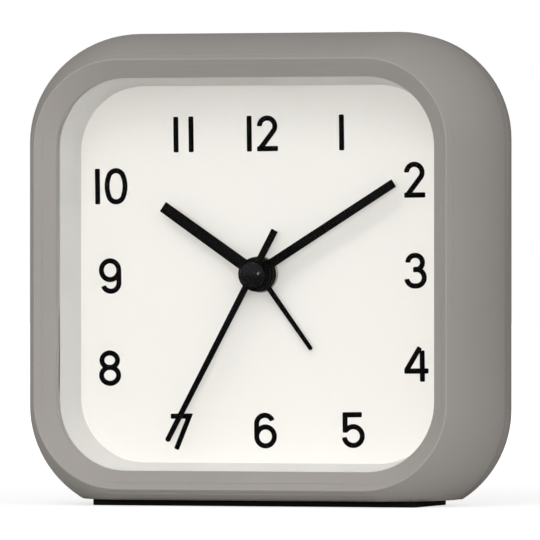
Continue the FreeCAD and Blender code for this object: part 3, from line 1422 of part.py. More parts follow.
def knob(name, x, y):
    body = doc.addObject("PartDesign::Body", name)
    rim = sketch_on(body, name + "_rim_outline", KNOB_BACK)
    round_outline(rim, named("knob_radius"), "0")
    pad(body, rim, name + "_rim", named("knob_height"))
    flute = sketch_on(body, name + "_flute_outline", "(%s + Sizes.knob_height + Sizes.overrun)" % KNOB_BACK)
    round_outline(flute, named("knob_flute_radius"), "Sizes.knob_radius + Sizes.knob_flute_radius / 2")
    flute_cut = pocket(body, flute, name + "_flute", "Sizes.knob_height + 2 * Sizes.overrun")
    bore = sketch_on(body, name + "_bore_outline", "(%s + Sizes.knob_height + Sizes.overrun)" % KNOB_BACK)
    round_outline(bore, SET_PIVOT, "0")
    pattern = body.newObject("PartDesign::PolarPattern", name + "_flutes")
    pattern.Originals = [flute_cut]
    pattern.Axis = (origin_axis(body), [""])
    pattern.Angle = 360
    pattern.Occurrences = round(value("Sizes.knob_flutes"))
    body.Tip = pattern
    pocket(body, bore, name + "_bore", "Sizes.knob_height / 2 + Sizes.overrun + Sizes.running_gap")
    body.Placement = FreeCAD.Placement(FreeCAD.Vector(value(x), value(y), 0), FreeCAD.Rotation())
    return keep(body, name)


def origin_axis(body):
    return origin_plane(body, "Z_Axis")


knob("time_set_knob", TIME_X, TIME_Y)
knob("alarm_set_knob", ALARM_X, ALARM_Y)

# Alarm switch: a slider whose flange runs on the housing floor

SWITCH_X = "(-Sizes.switch_travel / 2)"
STEM_BACK = "(Sizes.dish_depth - Sizes.knob_height / 2)"
FLANGE_BACK = "(%s + Sizes.running_gap)" % HOUSING_FLOOR
FLANGE_FRONT = "(%s + Sizes.switch_flange)" % FLANGE_BACK
switch_stem = block(
    "switch_stem",
    "(%s - Sizes.switch_half_width)" % SWITCH_X,
    "(%s + Sizes.switch_half_width)" % SWITCH_X,
    "(Sizes.switch_height - Sizes.switch_half_height)",
    "(Sizes.switch_height + Sizes.switch_half_height)",
    STEM_BACK,
    FLANGE_FRONT,
)
switch_flange = block(
    "switch_flange",
    "(%s - Sizes.switch_half_width - Sizes.switch_flange)" % SWITCH_X,
    "(%s + Sizes.switch_half_width + Sizes.switch_flange)" % SWITCH_X,
    "(Sizes.switch_height - Sizes.switch_half_height - Sizes.switch_flange)",
    "(Sizes.switch_height + Sizes.switch_half_height + Sizes.switch_flange)",
    FLANGE_BACK,
    FLANGE_FRONT,
)
keep(fused("alarm_switch", [switch_stem, switch_flange]), "alarm_switch")

# Screws: each group is one node of separate screws


def screw(head_radius, head_back, head_front, shank_radius, shank_front, x, y):
    head = rod(head_radius, head_back, head_front, x, y)
    shank = rod(shank_radius, head_front, shank_front, x, y)
    return merged(head, shank)


def screws(name, half_x, half_y, head_radius, head_height, seat, shank_radius, reach):
    pieces = []
    for sx, sy in ((1, 1), (-1, 1), (-1, -1), (1, -1)):
        pieces.append(screw(head_radius, seat - head_height, seat, shank_radius, seat + reach, sx * half_x, sy * half_y))
    return made(name, Part.makeCompound(pieces))


thread_gap = value("Sizes.thread_gap")
small_shank = value("Sizes.ring_screw_radius") - thread_gap
small_head = value("Sizes.small_head_radius")
small_height = value("Sizes.small_head_height")
post_place = value(POST_PLACE)
case_seat = value("Sizes.screw_recess")
screws(
    "case_screws",
    post_place,
    post_place,
    value("Sizes.screw_head_radius"),
    value("Sizes.screw_head_height"),
    case_seat,
    value("Sizes.post_screw_radius") - thread_gap,
    value(POST_TOP) - value("Sizes.seat_gap") - case_seat,
)
tab_x = value(RING_POST_X)
ring_seat = value(RING_BACK)
screws(
    "ring_screws",
    tab_x,
    value("Sizes.tab_spread"),
    small_head,
    small_height,
    ring_seat,
    small_shank,
    value("Sizes.ring_floor") + value("Sizes.screw_grip") / 2 - value("Sizes.seat_gap"),
)
screws(
    "movement_screws",
    value("Sizes.ear_place"),
    value("Sizes.ear_rise"),
    small_head,
    small_height,
    value(PLATE_BACK),
    small_shank,
    value("Sizes.movement_wall") + value("Sizes.ring_floor") - 2 * value("Sizes.seat_gap"),
)

# Turn every piece from the clockmaker's frame into the standing frame

doc.recompute()


def hand_turn(alias):
    return FreeCAD.Placement(
        FreeCAD.Vector(), FreeCAD.Rotation(FreeCAD.Vector(0, 0, 1), -value("Sizes." + alias))
    )


turns = {
    "hour_hand": hand_turn("hour_angle"),
    "minute_hand": hand_turn("minute_angle"),
    "second_hand": hand_turn("second_angle"),
    "alarm_hand": hand_turn("alarm_angle"),
}
for obj in nodes:
    turn = turns.get(obj.Label, FreeCAD.Placement())
    for prop in ("Placement.Base.x", "Placement.Base.y", "Placement.Base.z"):
        obj.setExpression(prop, None)
    obj.Placement = PLACE.multiply(obj.Placement).multiply(turn)
doc.recompute()

for obj in doc.Objects:
    if "Invalid" in obj.State or "Error" in obj.State:
        raise RuntimeError("%s is %s" % (obj.Label, obj.State))
for obj in nodes:
    if obj.Shape.isNull() or not obj.Shape.isValid() or not obj.Shape.Solids:
        raise RuntimeError("%s has no sound solid" % obj.Label)

os.makedirs("parts", exist_ok=True)
for obj in nodes:
    obj.Shape.exportStep("parts/%s.step" % obj.Label)
    print(obj.Label, len(obj.Shape.Solids), round(obj.Shape.Volume, 2))
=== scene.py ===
import math

import bmesh
import bpy
from mathutils import Matrix, Vector


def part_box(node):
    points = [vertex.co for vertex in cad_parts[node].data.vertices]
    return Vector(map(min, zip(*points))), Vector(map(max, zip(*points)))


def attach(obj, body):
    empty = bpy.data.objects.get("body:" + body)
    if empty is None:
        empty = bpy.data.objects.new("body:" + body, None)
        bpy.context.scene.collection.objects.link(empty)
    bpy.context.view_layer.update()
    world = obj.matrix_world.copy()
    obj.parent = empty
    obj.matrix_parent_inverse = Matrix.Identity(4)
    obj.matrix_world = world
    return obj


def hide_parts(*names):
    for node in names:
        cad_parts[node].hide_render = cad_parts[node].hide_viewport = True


# A small square alarm clock in matt grey plastic, seen a little from its right.
# The frame is in metres: x to the right, y away from the face, z up, the pad on z = 0.
# A _HALF is a half width, a _CORNER a corner's radius, a _Y a place along the depth.

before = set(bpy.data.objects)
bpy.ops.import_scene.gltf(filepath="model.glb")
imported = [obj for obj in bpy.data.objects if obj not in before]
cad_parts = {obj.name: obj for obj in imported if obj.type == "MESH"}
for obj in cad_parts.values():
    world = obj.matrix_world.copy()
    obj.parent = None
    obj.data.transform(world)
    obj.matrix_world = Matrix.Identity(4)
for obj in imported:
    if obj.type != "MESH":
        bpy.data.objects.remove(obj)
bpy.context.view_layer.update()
MM = 0.001

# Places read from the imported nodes
case_low, case_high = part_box("case_front")
lens_low, lens_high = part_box("lens")
dial_low, dial_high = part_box("dial")
CREST_Y = case_low[1]
SEAM_Y = case_high[1]
FOOT_Z = case_low[2]
LENS_FRONT_Y = lens_low[1]
LENS_BACK_Y = lens_high[1]
LENS_HALF = lens_high[0]
DIAL_Y = dial_low[1]
DIAL_BACK_Y = dial_high[1]
DIAL_SHEET_HALF = dial_high[0]
RING_BACK_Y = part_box("dial_ring")[1][1]

# Driving sizes of the shells, as in the clock's own drawing
HUB_Z = 46.53 * MM
CASE_HALF = 48.7 * MM
CASE_CORNER = 21.6 * MM
CREST_HALF = 43.0 * MM
CREST_CORNER = 17.3 * MM
BULGE_RADIUS = 47.3 * MM
OPENING_HALF = 39.4 * MM
OPENING_CORNER = 14.1 * MM
FUNNEL_DEPTH = 3.9 * MM
LIP_THICK = 1.5 * MM
MOUTH_HALF = 39.7 * MM
MOUTH_CORNER = 14.4 * MM
DIAL_HALF = 38.1 * MM
DIAL_CORNER = 13.4 * MM
RING_WALL = 1.2 * MM

# Wall of the scene's front shell, a little thinner than the real 2 mm
SHELL_WALL = 1.8 * MM

# How finely the round forms are cut
CORNER_STEPS = 20
SWELL_RINGS = 20
SWELL_CROWDING = 1.3

# Points closer than this many metres are one
TINY = 1e-7


# Mesh helpers

# Turns a shape drawn on the ground so that it faces along the depth
UPRIGHT = Matrix.Rotation(math.radians(90), 4, "X")


def mesh_object(bm, name):
    """An object at the origin that takes the bmesh over."""
    mesh = bpy.data.meshes.new(name)
    bm.to_mesh(mesh)
    bm.free()
    obj = bpy.data.objects.new(name, mesh)
    bpy.context.scene.collection.objects.link(obj)
    return obj


def piece_from(bm, name, body, material, smooth=30):
    """A finished piece, smooth but for edges sharper than an angle in degrees."""
    obj = mesh_object(bm, name)
    obj.data.materials.append(material)
    shade(obj, smooth)
    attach(obj, body)
    return obj


def shade(obj, smooth):
    mesh = obj.data
    mesh.shade_smooth()
    mesh.set_sharp_from_angle(angle=math.radians(smooth))


def even_normals(obj):
    """Flat faces keep their flat shading beside a bevel."""
    even = obj.modifiers.new("even", "WEIGHTED_NORMAL")
    even.keep_sharp = True
    even.weight = 100


def join(bm, part):
    """Adds another bmesh to bm and frees it."""
    mesh = bpy.data.meshes.new("part")
    part.to_mesh(mesh)
    part.free()
    bm.from_mesh(mesh)
    bpy.data.meshes.remove(mesh)


def apply_modifier(obj, kind, **settings):
    modifier = obj.modifiers.new(kind.lower(), kind)
    for name, setting in settings.items():
        setattr(modifier, name, setting)
    graph = bpy.context.evaluated_depsgraph_get()
    baked = bpy.data.meshes.new_from_object(obj.evaluated_get(graph))
    obj.modifiers.clear()
    old = obj.data
    obj.data = baked
    bpy.data.meshes.remove(old)


def cut_with(obj, cutter_bm):
    """Takes the cutter's solids out of obj."""
    bmesh.ops.recalc_face_normals(cutter_bm, faces=cutter_bm.faces)
    cutter = mesh_object(cutter_bm, "cutter")
    apply_modifier(
        obj, "BOOLEAN", operation="DIFFERENCE", solver="EXACT", use_self=True, object=cutter,
    )
    mesh = cutter.data
    bpy.data.objects.remove(cutter)
    bpy.data.meshes.remove(mesh)


def rounded_square(bm, half, corner, y):
    """One closed loop round the hands' axis at a depth; returns its edges."""
    made = bmesh.ops.create_grid(bm, x_segments=1, y_segments=1, size=half)
    verts = made["verts"]
    bmesh.ops.transform(bm, matrix=Matrix.Translation((0, y, HUB_Z)) @ UPRIGHT, verts=verts)
    bevel = bmesh.ops.bevel(
        bm, geom=verts, offset=corner, offset_type="OFFSET", segments=CORNER_STEPS,
        profile=0.5, affect="VERTICES", material=-1,
    )
    face = next(f for f in bm.faces if bevel["verts"][0] in f.verts)
    edges = list(face.edges)
    bmesh.ops.delete(bm, geom=[face], context="FACES_ONLY")
    return edges


def bridge(bm, loops):
    """Skins a row of loops into one shell."""
    for first, second in zip(loops, loops[1:]):
        bmesh.ops.bridge_loops(bm, edges=first + second)


def disc_solid(bm, radius, y_front, y_back, x=0, z=0, steps=48):
    """A round slab from y_front back to y_back, at x and z from the hands' axis."""
    made = bmesh.ops.create_cone(
        bm, cap_ends=True, segments=steps, radius1=radius, radius2=radius, depth=y_back - y_front,
    )
    place = Matrix.Translation((x, (y_front + y_back) / 2, HUB_Z + z))
    bmesh.ops.transform(bm, matrix=place @ UPRIGHT, verts=made["verts"])


def box_solid(bm, low, high):
    made = bmesh.ops.create_cube(bm, size=1)
    size = Vector(high) - Vector(low)
    middle = (Vector(high) + Vector(low)) / 2
    place = Matrix.Translation(middle) @ Matrix.Diagonal((*size, 1))
    bmesh.ops.transform(bm, matrix=place, verts=made["verts"])
    return made["verts"]


def sharp_edges(bm, angle):
    """Edges whose two faces meet at more than an angle in degrees."""
    limit = math.radians(angle)
    return [e for e in bm.edges if len(e.link_faces) == 2 and e.calc_face_angle(0) > limit]


def bevel_edges(bm, edges, width, segments, clamp=False):
    bmesh.ops.bevel(
        bm, geom=edges, offset=width, offset_type="OFFSET", segments=segments,
        profile=0.5, affect="EDGES", material=-1, clamp_overlap=clamp,
    )


def soften(bm, width, segments, angle):
    """Rounds every edge that is sharper than an angle in degrees."""
    bevel_edges(bm, sharp_edges(bm, angle), width, segments, clamp=True)


# Materials


def principled(name, colour, roughness, **inputs):
    """A Principled material; other inputs are named with underscores for spaces."""
    material = bpy.data.materials.new(name)
    material.use_nodes = True
    shader = material.node_tree.nodes["Principled BSDF"]
    shader.inputs["Base Color"].default_value = (*colour, 1)
    shader.inputs["Roughness"].default_value = roughness
    for label, number in inputs.items():
        shader.inputs[label.replace("_", " ")].default_value = number
    return material, shader


def noise(nodes, links, place, detail):
    texture = nodes.new("ShaderNodeTexNoise")
    texture.inputs["Detail"].default_value = detail
    links.new(place.outputs["Object"], texture.inputs["Vector"])
    return texture


def surface_grain():
    """Moulded grain: broad changes of colour and roughness, and a fine height for a bump."""
    group = bpy.data.node_groups.new("moulded_grain", "ShaderNodeTree")
    for label, way, kind in (
        ("Colour", "INPUT", "NodeSocketColor"),
        ("Grain size", "INPUT", "NodeSocketFloat"),
        ("Colour change", "INPUT", "NodeSocketFloat"),
        ("Roughness", "INPUT", "NodeSocketFloat"),
        ("Roughness change", "INPUT", "NodeSocketFloat"),
        ("Colour", "OUTPUT", "NodeSocketColor"),
        ("Roughness", "OUTPUT", "NodeSocketFloat"),
        ("Height", "OUTPUT", "NodeSocketFloat"),
    ):
        group.interface.new_socket(label, in_out=way, socket_type=kind)
    nodes, links = group.nodes, group.links
    given = nodes.new("NodeGroupInput")
    out = nodes.new("NodeGroupOutput")
    place = nodes.new("ShaderNodeTexCoord")

    fine = noise(nodes, links, place, detail=3)
    fine.inputs["Roughness"].default_value = 0.6
    links.new(given.outputs["Grain size"], fine.inputs["Scale"])
    links.new(fine.outputs["Fac"], out.inputs["Height"])

    broad = noise(nodes, links, place, detail=2)
    broad.inputs["Scale"].default_value = 35
    shift = nodes.new("ShaderNodeMath")
    shift.operation = "SUBTRACT"
    shift.inputs[1].default_value = 0.5
    links.new(broad.outputs["Fac"], shift.inputs[0])

    light = nodes.new("ShaderNodeMath")
    light.operation = "MULTIPLY_ADD"
    light.inputs[2].default_value = 1
    links.new(shift.outputs[0], light.inputs[0])
    links.new(given.outputs["Colour change"], light.inputs[1])
    tint = nodes.new("ShaderNodeVectorMath")
    tint.operation = "SCALE"
    links.new(given.outputs["Colour"], tint.inputs[0])
    links.new(light.outputs[0], tint.inputs["Scale"])
    links.new(tint.outputs[0], out.inputs["Colour"])

    rough = nodes.new("ShaderNodeMath")
    rough.operation = "MULTIPLY_ADD"
    links.new(shift.outputs[0], rough.inputs[0])
    links.new(given.outputs["Roughness change"], rough.inputs[1])
    links.new(given.outputs["Roughness"], rough.inputs[2])
    links.new(rough.outputs[0], out.inputs["Roughness"])
    return group


GRAIN = surface_grain()


def moulded(
    name, colour, roughness, grain, change=0.06, rough_change=0.1, bump=0.00004, **inputs
):
    """A finish with the moulded grain; grain is its scale, and bump its height in metres."""
    material, shader = principled(name, colour, roughness, **inputs)
    nodes, links = material.node_tree.nodes, material.node_tree.links
    effect = nodes.new("ShaderNodeGroup")
    effect.node_tree = GRAIN
    effect.inputs["Colour"].default_value = (*colour, 1)
    effect.inputs["Grain size"].default_value = grain
    effect.inputs["Colour change"].default_value = change
    effect.inputs["Roughness"].default_value = roughness
    effect.inputs["Roughness change"].default_value = rough_change
    links.new(effect.outputs["Colour"], shader.inputs["Base Color"])
    links.new(effect.outputs["Roughness"], shader.inputs["Roughness"])
    if bump:
        raised = nodes.new("ShaderNodeBump")
        raised.inputs["Strength"].default_value = 0.5
        raised.inputs["Distance"].default_value = bump
        links.new(effect.outputs["Height"], raised.inputs["Height"])
        links.new(raised.outputs["Normal"], shader.inputs["Normal"])
    return material


def window_material():
    """Clear sheet: Principled glass, and no shadow of its own."""
    material, shader = principled("clear_window", (1, 1, 1), 0.0, IOR=1.06)
    shader.inputs["Transmission Weight"].default_value = 1
    nodes, links = material.node_tree.nodes, material.node_tree.links
    clear = nodes.new("ShaderNodeBsdfTransparent")
    mix = nodes.new("ShaderNodeMixShader")
    path = nodes.new("ShaderNodeLightPath")
    links.new(path.outputs["Is Shadow Ray"], mix.inputs[0])
    links.new(shader.outputs[0], mix.inputs[1])
    links.new(clear.outputs[0], mix.inputs[2])
    links.new(mix.outputs[0], nodes["Material Output"].inputs["Surface"])
    return material


SHELL_GRAIN = {"grain": 2000, "change": 0.11, "bump": 0.00005}
PAINT_GRAIN = {"change": 0.1, "bump": 0.00001}

grey_case = moulded("warm_grey_case", (0.545, 0.513, 0.484), 0.50, **SHELL_GRAIN)
# The rear shell and battery door use the front's grey plastic darkened as painted shade, for the
# rear turning away from the light.
rear_grey_painted_shade = moulded("grey_rear_painted_shade", (0.42, 0.387, 0.358), 0.50, **SHELL_GRAIN)
grey_knob = moulded("dark_grey_knob", (0.10, 0.095, 0.09), 0.45, grain=2600)
white_ring = moulded("matt_white_ring", (0.805, 0.795, 0.772), 0.55, grain=2200, change=0.02)
white_dial = moulded(
    "printed_white_dial", (0.918, 0.895, 0.848), 0.6, grain=3000, change=0.015, bump=0.00001,
)
dial_ink = moulded(
    "dial_ink", (0.002, 0.002, 0.002), 0.8, grain=3000, Specular_IOR_Level=0.04, **PAINT_GRAIN,
)
hand_black = moulded(
    "black_hand_paint", (0.002, 0.002, 0.002), 0.6, grain=2400, Specular_IOR_Level=0.05,
    **PAINT_GRAIN,
)
cap_black = moulded(
    "black_cap", (0.003, 0.003, 0.003), 0.07, grain=2400, change=0, rough_change=0, bump=0,
    Specular_IOR_Level=0.16,
)
pad_black = moulded(
    "black_rubber_pad", (0.006, 0.006, 0.006), 0.75, grain=1400, bump=0.00008,
    Specular_IOR_Level=0.2,
)
natural_plastic = moulded("natural_plastic", (0.82, 0.80, 0.74), 0.4, grain=1500)
frame_plastic = moulded("movement_black", (0.02, 0.02, 0.021), 0.42, grain=1800)
steel = moulded("bright_steel", (0.62, 0.61, 0.59), 0.28, grain=1200, Metallic=1.0)
brass = moulded("grey_brass", (0.34, 0.31, 0.24), 0.4, grain=1200, Metallic=1.0)
copper = moulded("lacquered_copper", (0.60, 0.20, 0.07), 0.35, grain=2200, Metallic=1.0)
board_green = moulded("board_green", (0.02, 0.12, 0.05), 0.35, grain=1600)
resin_black = moulded("chip_resin", (0.01, 0.01, 0.011), 0.5, grain=1600)
jacket = moulded("cell_jacket", (0.05, 0.055, 0.06), 0.3, grain=900)
clear_window = window_material()


# Front shell: throat, funnel, rounded crest and swelling side down to the seam

SEAM_BEVEL_DEPTH = 0.6 * MM
SEAM_BEVEL_STEP = 0.28 * MM
CREST_ROUND = 0.3 * MM


def case_half_at(depth):
    """Half width of the case's outside, on one arc from the crest to the shoulder."""
    rise = CASE_HALF - CREST_HALF
    run = math.sqrt(BULGE_RADIUS ** 2 - (BULGE_RADIUS - rise) ** 2)
    left = max(run - depth, 0)
    return CASE_HALF - (BULGE_RADIUS - math.sqrt(BULGE_RADIUS ** 2 - left ** 2))


def case_corner_at(half):
    grown = (half - CREST_HALF) / (CASE_HALF - CREST_HALF)
    return CREST_CORNER + (CASE_CORNER - CREST_CORNER) * grown


def flat_foot(bm, z):
    """Cuts the shell level at z and closes the cut, also across its open rear."""
    cut = bmesh.ops.bisect_plane(
        bm, geom=bm.verts[:] + bm.edges[:] + bm.faces[:], dist=TINY,
        plane_co=(0, 0, z), plane_no=(0, 0, -1), clear_outer=True,
    )
    rim = [g for g in cut["geom_cut"] if isinstance(g, bmesh.types.BMEdge)]
    ends = [
        v for v in cut["geom_cut"]
        if isinstance(v, bmesh.types.BMVert) and sum(e in rim for e in v.link_edges) == 1
    ]
    if len(ends) == 2:
        rim.append(bm.edges.new(ends))
    bmesh.ops.contextual_create(bm, geom=rim)


def front_shell():
    throat = CREST_Y + FUNNEL_DEPTH
    stations = [
        (OPENING_HALF, OPENING_CORNER, throat + LIP_THICK),
        (OPENING_HALF, OPENING_CORNER, throat),
        (CREST_HALF, CREST_CORNER, CREST_Y),
    ]
    seam_depth = SEAM_Y - CREST_Y
    for index in range(1, SWELL_RINGS + 1):
        depth = (seam_depth - SEAM_BEVEL_DEPTH) * (index / SWELL_RINGS) ** SWELL_CROWDING
        half = case_half_at(depth)
        stations.append((half, case_corner_at(half), CREST_Y + depth))
    half = case_half_at(seam_depth) - SEAM_BEVEL_STEP
    stations.append((half, case_corner_at(half), SEAM_Y))
    bm = bmesh.new()
    bridge(bm, [rounded_square(bm, *station) for station in stations])
    bmesh.ops.remove_doubles(bm, verts=bm.verts, dist=TINY)
    bevel_edges(bm, sharp_edges(bm, 40), CREST_ROUND, 3)
    flat_foot(bm, FOOT_Z)
    bmesh.ops.recalc_face_normals(bm, faces=bm.faces)
    obj = piece_from(bm, "front_case_shell", "root", grey_case)
    apply_modifier(obj, "SOLIDIFY", thickness=SHELL_WALL, offset=-1, use_even_offset=True)
    shade(obj, 30)
    even_normals(obj)
    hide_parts("case_front")


front_shell()


# Rear shell and its knobs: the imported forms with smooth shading


def smooth_copy(node, name, body, material):
    """A merged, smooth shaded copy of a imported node, which it stands for."""
    bm = bmesh.new()
    bm.from_mesh(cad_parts[node].data)
    bmesh.ops.remove_doubles(bm, verts=bm.verts, dist=2e-6)
    obj = piece_from(bm, name, body, material, smooth=24)
    even_normals(obj)
    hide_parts(node)


smooth_copy("case_back", "rear_case_shell", "root", rear_grey_painted_shade)
smooth_copy("time_set_knob", "fluted_time_knob", "time_setting", grey_knob)
smooth_copy("alarm_set_knob", "fluted_alarm_knob", "alarm_setting", grey_knob)


# Case screws and foot pad

SCREW_HEAD = 2.0 * MM
SCREW_HEAD_TALL = 1.3 * MM
SCREW_SHANK = 0.95 * MM
CROSS_DEPTH = 0.7 * MM
CROSS_REACH = 1.15 * MM
CROSS_HALF = 0.26 * MM
CUT_SPARE = 0.1 * MM
PAD_SPREAD = 0.4 * MM
PAD_CORNER = 0.9 * MM
PAD_RIM = 0.15 * MM


def case_screws():
    """Four pan heads with a crossed recess, sunk in the rear shell."""
    low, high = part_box("case_screws")
    front, back = low[1], high[1]
    spread = high[0] - SCREW_HEAD
    bm = bmesh.new()
    cutter = bmesh.new()
    for x in (-spread, spread):
        for z in (-spread, spread):
            disc_solid(bm, SCREW_HEAD, back - SCREW_HEAD_TALL, back, x, z, steps=32)
            disc_solid(bm, SCREW_SHANK, front, back - SCREW_HEAD_TALL, x, z, steps=20)
            for wide, tall in ((CROSS_REACH, CROSS_HALF), (CROSS_HALF, CROSS_REACH)):
                box_solid(
                    cutter,
                    (x - wide, back - CROSS_DEPTH, HUB_Z + z - tall),
                    (x + wide, back + CUT_SPARE, HUB_Z + z + tall),
                )
    soften(bm, 0.22 * MM, segments=3, angle=60)
    obj = piece_from(bm, "crossed_case_screws", "root", steel)
    cut_with(obj, cutter)
    shade(obj, 30)
    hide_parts("case_screws")


def foot_pad():
    """Rubber pad under the foot, with a slightly rounded rim."""
    low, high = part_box("base_pad")
    bm = bmesh.new()
    box_solid(bm, (low[0] - PAD_SPREAD, low[1], low[2]), (high[0] + PAD_SPREAD, high[1], high[2]))
    upright = [e for e in bm.edges if abs(e.verts[0].co.z - e.verts[1].co.z) > MM]
    bevel_edges(bm, upright, PAD_CORNER, 8)
    soften(bm, PAD_RIM, segments=2, angle=60)
    obj = piece_from(bm, "rubber_foot_pad", "root", pad_black, smooth=40)
    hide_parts("base_pad")


case_screws()
foot_pad()


# Dial ring and window

BUSH_HOLE_HALF = 3.35 * MM
BUSH_HOLE_CORNER = 3.2 * MM
SHEET_OVERLAP = 0.04 * MM
SHEET_GAP = 0.03 * MM


def dial_well():
    """Deep white wall round the dial, closed behind it but for the bush's hole."""
    over = DIAL_HALF - DIAL_SHEET_HALF + SHEET_OVERLAP
    outer_half = MOUTH_HALF + RING_WALL
    outer_corner = MOUTH_CORNER + RING_WALL
    stations = [
        (outer_half, outer_corner, LENS_BACK_Y),
        (MOUTH_HALF, MOUTH_CORNER, LENS_BACK_Y),
        (DIAL_HALF - over, DIAL_CORNER - over, DIAL_Y - SHEET_GAP),
        (DIAL_HALF, DIAL_CORNER, DIAL_BACK_Y),
        (BUSH_HOLE_HALF, BUSH_HOLE_CORNER, DIAL_BACK_Y),
        (BUSH_HOLE_HALF, BUSH_HOLE_CORNER, RING_BACK_Y),
        (outer_half, outer_corner, RING_BACK_Y),
    ]
    bm = bmesh.new()
    # Two loops in one plane can be bridged crosswise, so they stand apart until they are joined
    loops = [
        rounded_square(bm, half, corner, place * outer_half)
        for place, (half, corner, y) in enumerate(stations)
    ]
    bridge(bm, loops + loops[:1])
    for loop, (half, corner, y) in zip(loops, stations):
        for edge in loop:
            for vert in edge.verts:
                vert.co.y = y
    bm.normal_update()
    bmesh.ops.recalc_face_normals(bm, faces=bm.faces)
    obj = piece_from(bm, "white_dial_ring", "root", white_ring)
    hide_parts("dial_ring")


def window():
    bm = bmesh.new()
    corner = OPENING_CORNER + LENS_HALF - OPENING_HALF
    edges = rounded_square(bm, LENS_HALF, corner, LENS_FRONT_Y)
    bmesh.ops.contextual_create(bm, geom=edges)
    push = bmesh.ops.extrude_face_region(bm, geom=bm.faces[:])
    moved = [v for v in push["geom"] if isinstance(v, bmesh.types.BMVert)]
    bmesh.ops.translate(bm, vec=(0, LENS_BACK_Y - LENS_FRONT_Y, 0), verts=moved)
    bmesh.ops.recalc_face_normals(bm, faces=bm.faces)
    obj = piece_from(bm, "clear_front_window", "root", clear_window)
    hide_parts("lens")


dial_well()
window()


# Numerals: each stroke is a closed sheet of ink, drawn by a pen whose nib is one edge across it

STROKE = 1.05 * MM
INK = 0.03 * MM
INK_LAYER = 0.0005 * MM
STROKE_CORNER = 0.22 * MM
PRINT_TURN = math.radians(0.7)
TALL = 7.2 * MM
TOP = (TALL - STROKE) / 2
LOW = -TOP
ARC_STEP = 6


class Pen:
    """Draws one flat stroke in the dial's plane, x to the right and z up."""

    def __init__(self, strokes, x, z, heading):
        self.bm = bmesh.new()
        strokes.append(self.bm)
        self.x, self.z = x, z
        self.heading = math.radians(heading)
        self.nib = None

    def here(self):
        return Vector((self.x, 0, self.z))

    def across(self):
        return Vector((-math.sin(self.heading), 0, math.cos(self.heading)))

    def set_nib(self):
        half = self.across() * STROKE / 2
        verts = [self.bm.verts.new(self.here() + half), self.bm.verts.new(self.here() - half)]
        self.nib = self.bm.edges.new(verts)

    def line(self, length, corner=0):
        """Draws on; with a corner in degrees the next run starts on the mitre."""
        if self.nib is None:
            self.set_nib()
        grown = bmesh.ops.extrude_edge_only(self.bm, edges=[self.nib])["geom"]
        verts = [g for g in grown if isinstance(g, bmesh.types.BMVert)]
        self.nib = next(
            g for g in grown if isinstance(g, bmesh.types.BMEdge) and set(g.verts) == set(verts)
        )
        ahead = Vector((math.cos(self.heading), 0, math.sin(self.heading)))
        self.x += ahead.x * length
        self.z += ahead.z * length
        here = self.here()
        turn = math.radians(corner)
        slope = math.tan(turn / 2)
        left = self.across()
        verts.sort(key=lambda v: -(v.co - here).dot(left))
        half = STROKE / 2
        verts[0].co = here + left * half - ahead * half * slope
        verts[1].co = here - left * half + ahead * half * slope
        self.heading += turn
        return self

    def arc(self, radius, degrees):
        """Turns left for positive degrees and right for negative ones."""
        if self.nib is None:
            self.set_nib()
        side = 1 if degrees > 0 else -1
        centre = self.here() + self.across() * radius * side
        angle = math.radians(degrees)
        swept = bmesh.ops.spin(
            self.bm, geom=[self.nib, *self.nib.verts], cent=centre, axis=(0, -1, 0),
            angle=angle, steps=max(3, int(abs(degrees) / ARC_STEP)), use_merge=False,
        )
        self.nib = next(g for g in swept["geom_last"] if isinstance(g, bmesh.types.BMEdge))
        out = self.here() - centre
        out.rotate(Matrix.Rotation(-angle, 3, "Y"))
        self.x, self.z = centre.x + out.x, centre.z + out.z
        self.heading += angle
        return self


def oval(strokes, x, z, across, tall, round_share=0.84):
    """A closed oval of four arcs that meet smoothly; across and tall are its outer sizes."""
    wide = (across - STROKE) / 2
    high = (tall - STROKE) / 2
    upright = high >= wide
    short, long = (wide, high) if upright else (high, wide)
    tight = short * round_share
    slide = ((long - tight) ** 2 - (short - tight) ** 2) / (2 * (short - tight))
    loose = slide + short
    half_flat = math.degrees(math.atan2(long - tight, slide))
    pen = Pen(strokes, x + wide, z, 90) if upright else Pen(strokes, x, z + high, 180)
    pen.arc(loose, half_flat).arc(tight, 180 - 2 * half_flat).arc(loose, 2 * half_flat)
    pen.arc(tight, 180 - 2 * half_flat).arc(loose, half_flat)


# Each draw_ function draws one sign round the middle of its height, x to the right of it


def draw_one(strokes, x):
    Pen(strokes, x, -TALL / 2, 90).line(TALL)


def draw_two(strokes, x):
    bowl = 1.62 * MM
    centre = TOP - bowl
    foot_x, foot_z = -1.42 * MM, LOW + 0.12 * MM - centre
    away = math.hypot(foot_x, foot_z)
    touch = math.atan2(foot_z, foot_x) + math.acos(bowl / away)
    pen = Pen(strokes, x - bowl, centre, 90)
    pen.arc(bowl, math.degrees(touch) - 180)
    pen.line(math.sqrt(away ** 2 - bowl ** 2))
    Pen(strokes, x - 2.15 * MM, LOW, 0).line(4.4 * MM)


def draw_three(strokes, x):
    upper = 1.42 * MM
    lower = (TOP - LOW) / 2 - upper
    widen = 0.1 * MM
    pen = Pen(strokes, x - upper - widen, TOP - upper - 0.05 * MM, 90)
    pen.arc(upper, -90).line(2 * widen).arc(upper, -90).arc(upper, -90).line(0.55 * MM)
    pen = Pen(strokes, x - 0.4 * MM, LOW + 2 * lower, 0)
    pen.line(0.6 * MM).arc(lower, -180).line(0.35 * MM).arc(lower, -82)


def draw_four(strokes, x):
    left = x - 2.15 * MM
    bar = -1.45 * MM
    run = 2.95 * MM
    rise = TALL / 2 - bar - STROKE * 0.3
    Pen(strokes, left, bar, math.degrees(math.atan2(rise, run))).line(math.hypot(rise, run))
    Pen(strokes, left - 0.35 * MM, bar, 0).line(5.05 * MM)
    Pen(strokes, x + 1.25 * MM, -TALL / 2, 90).line(TALL * 0.87)


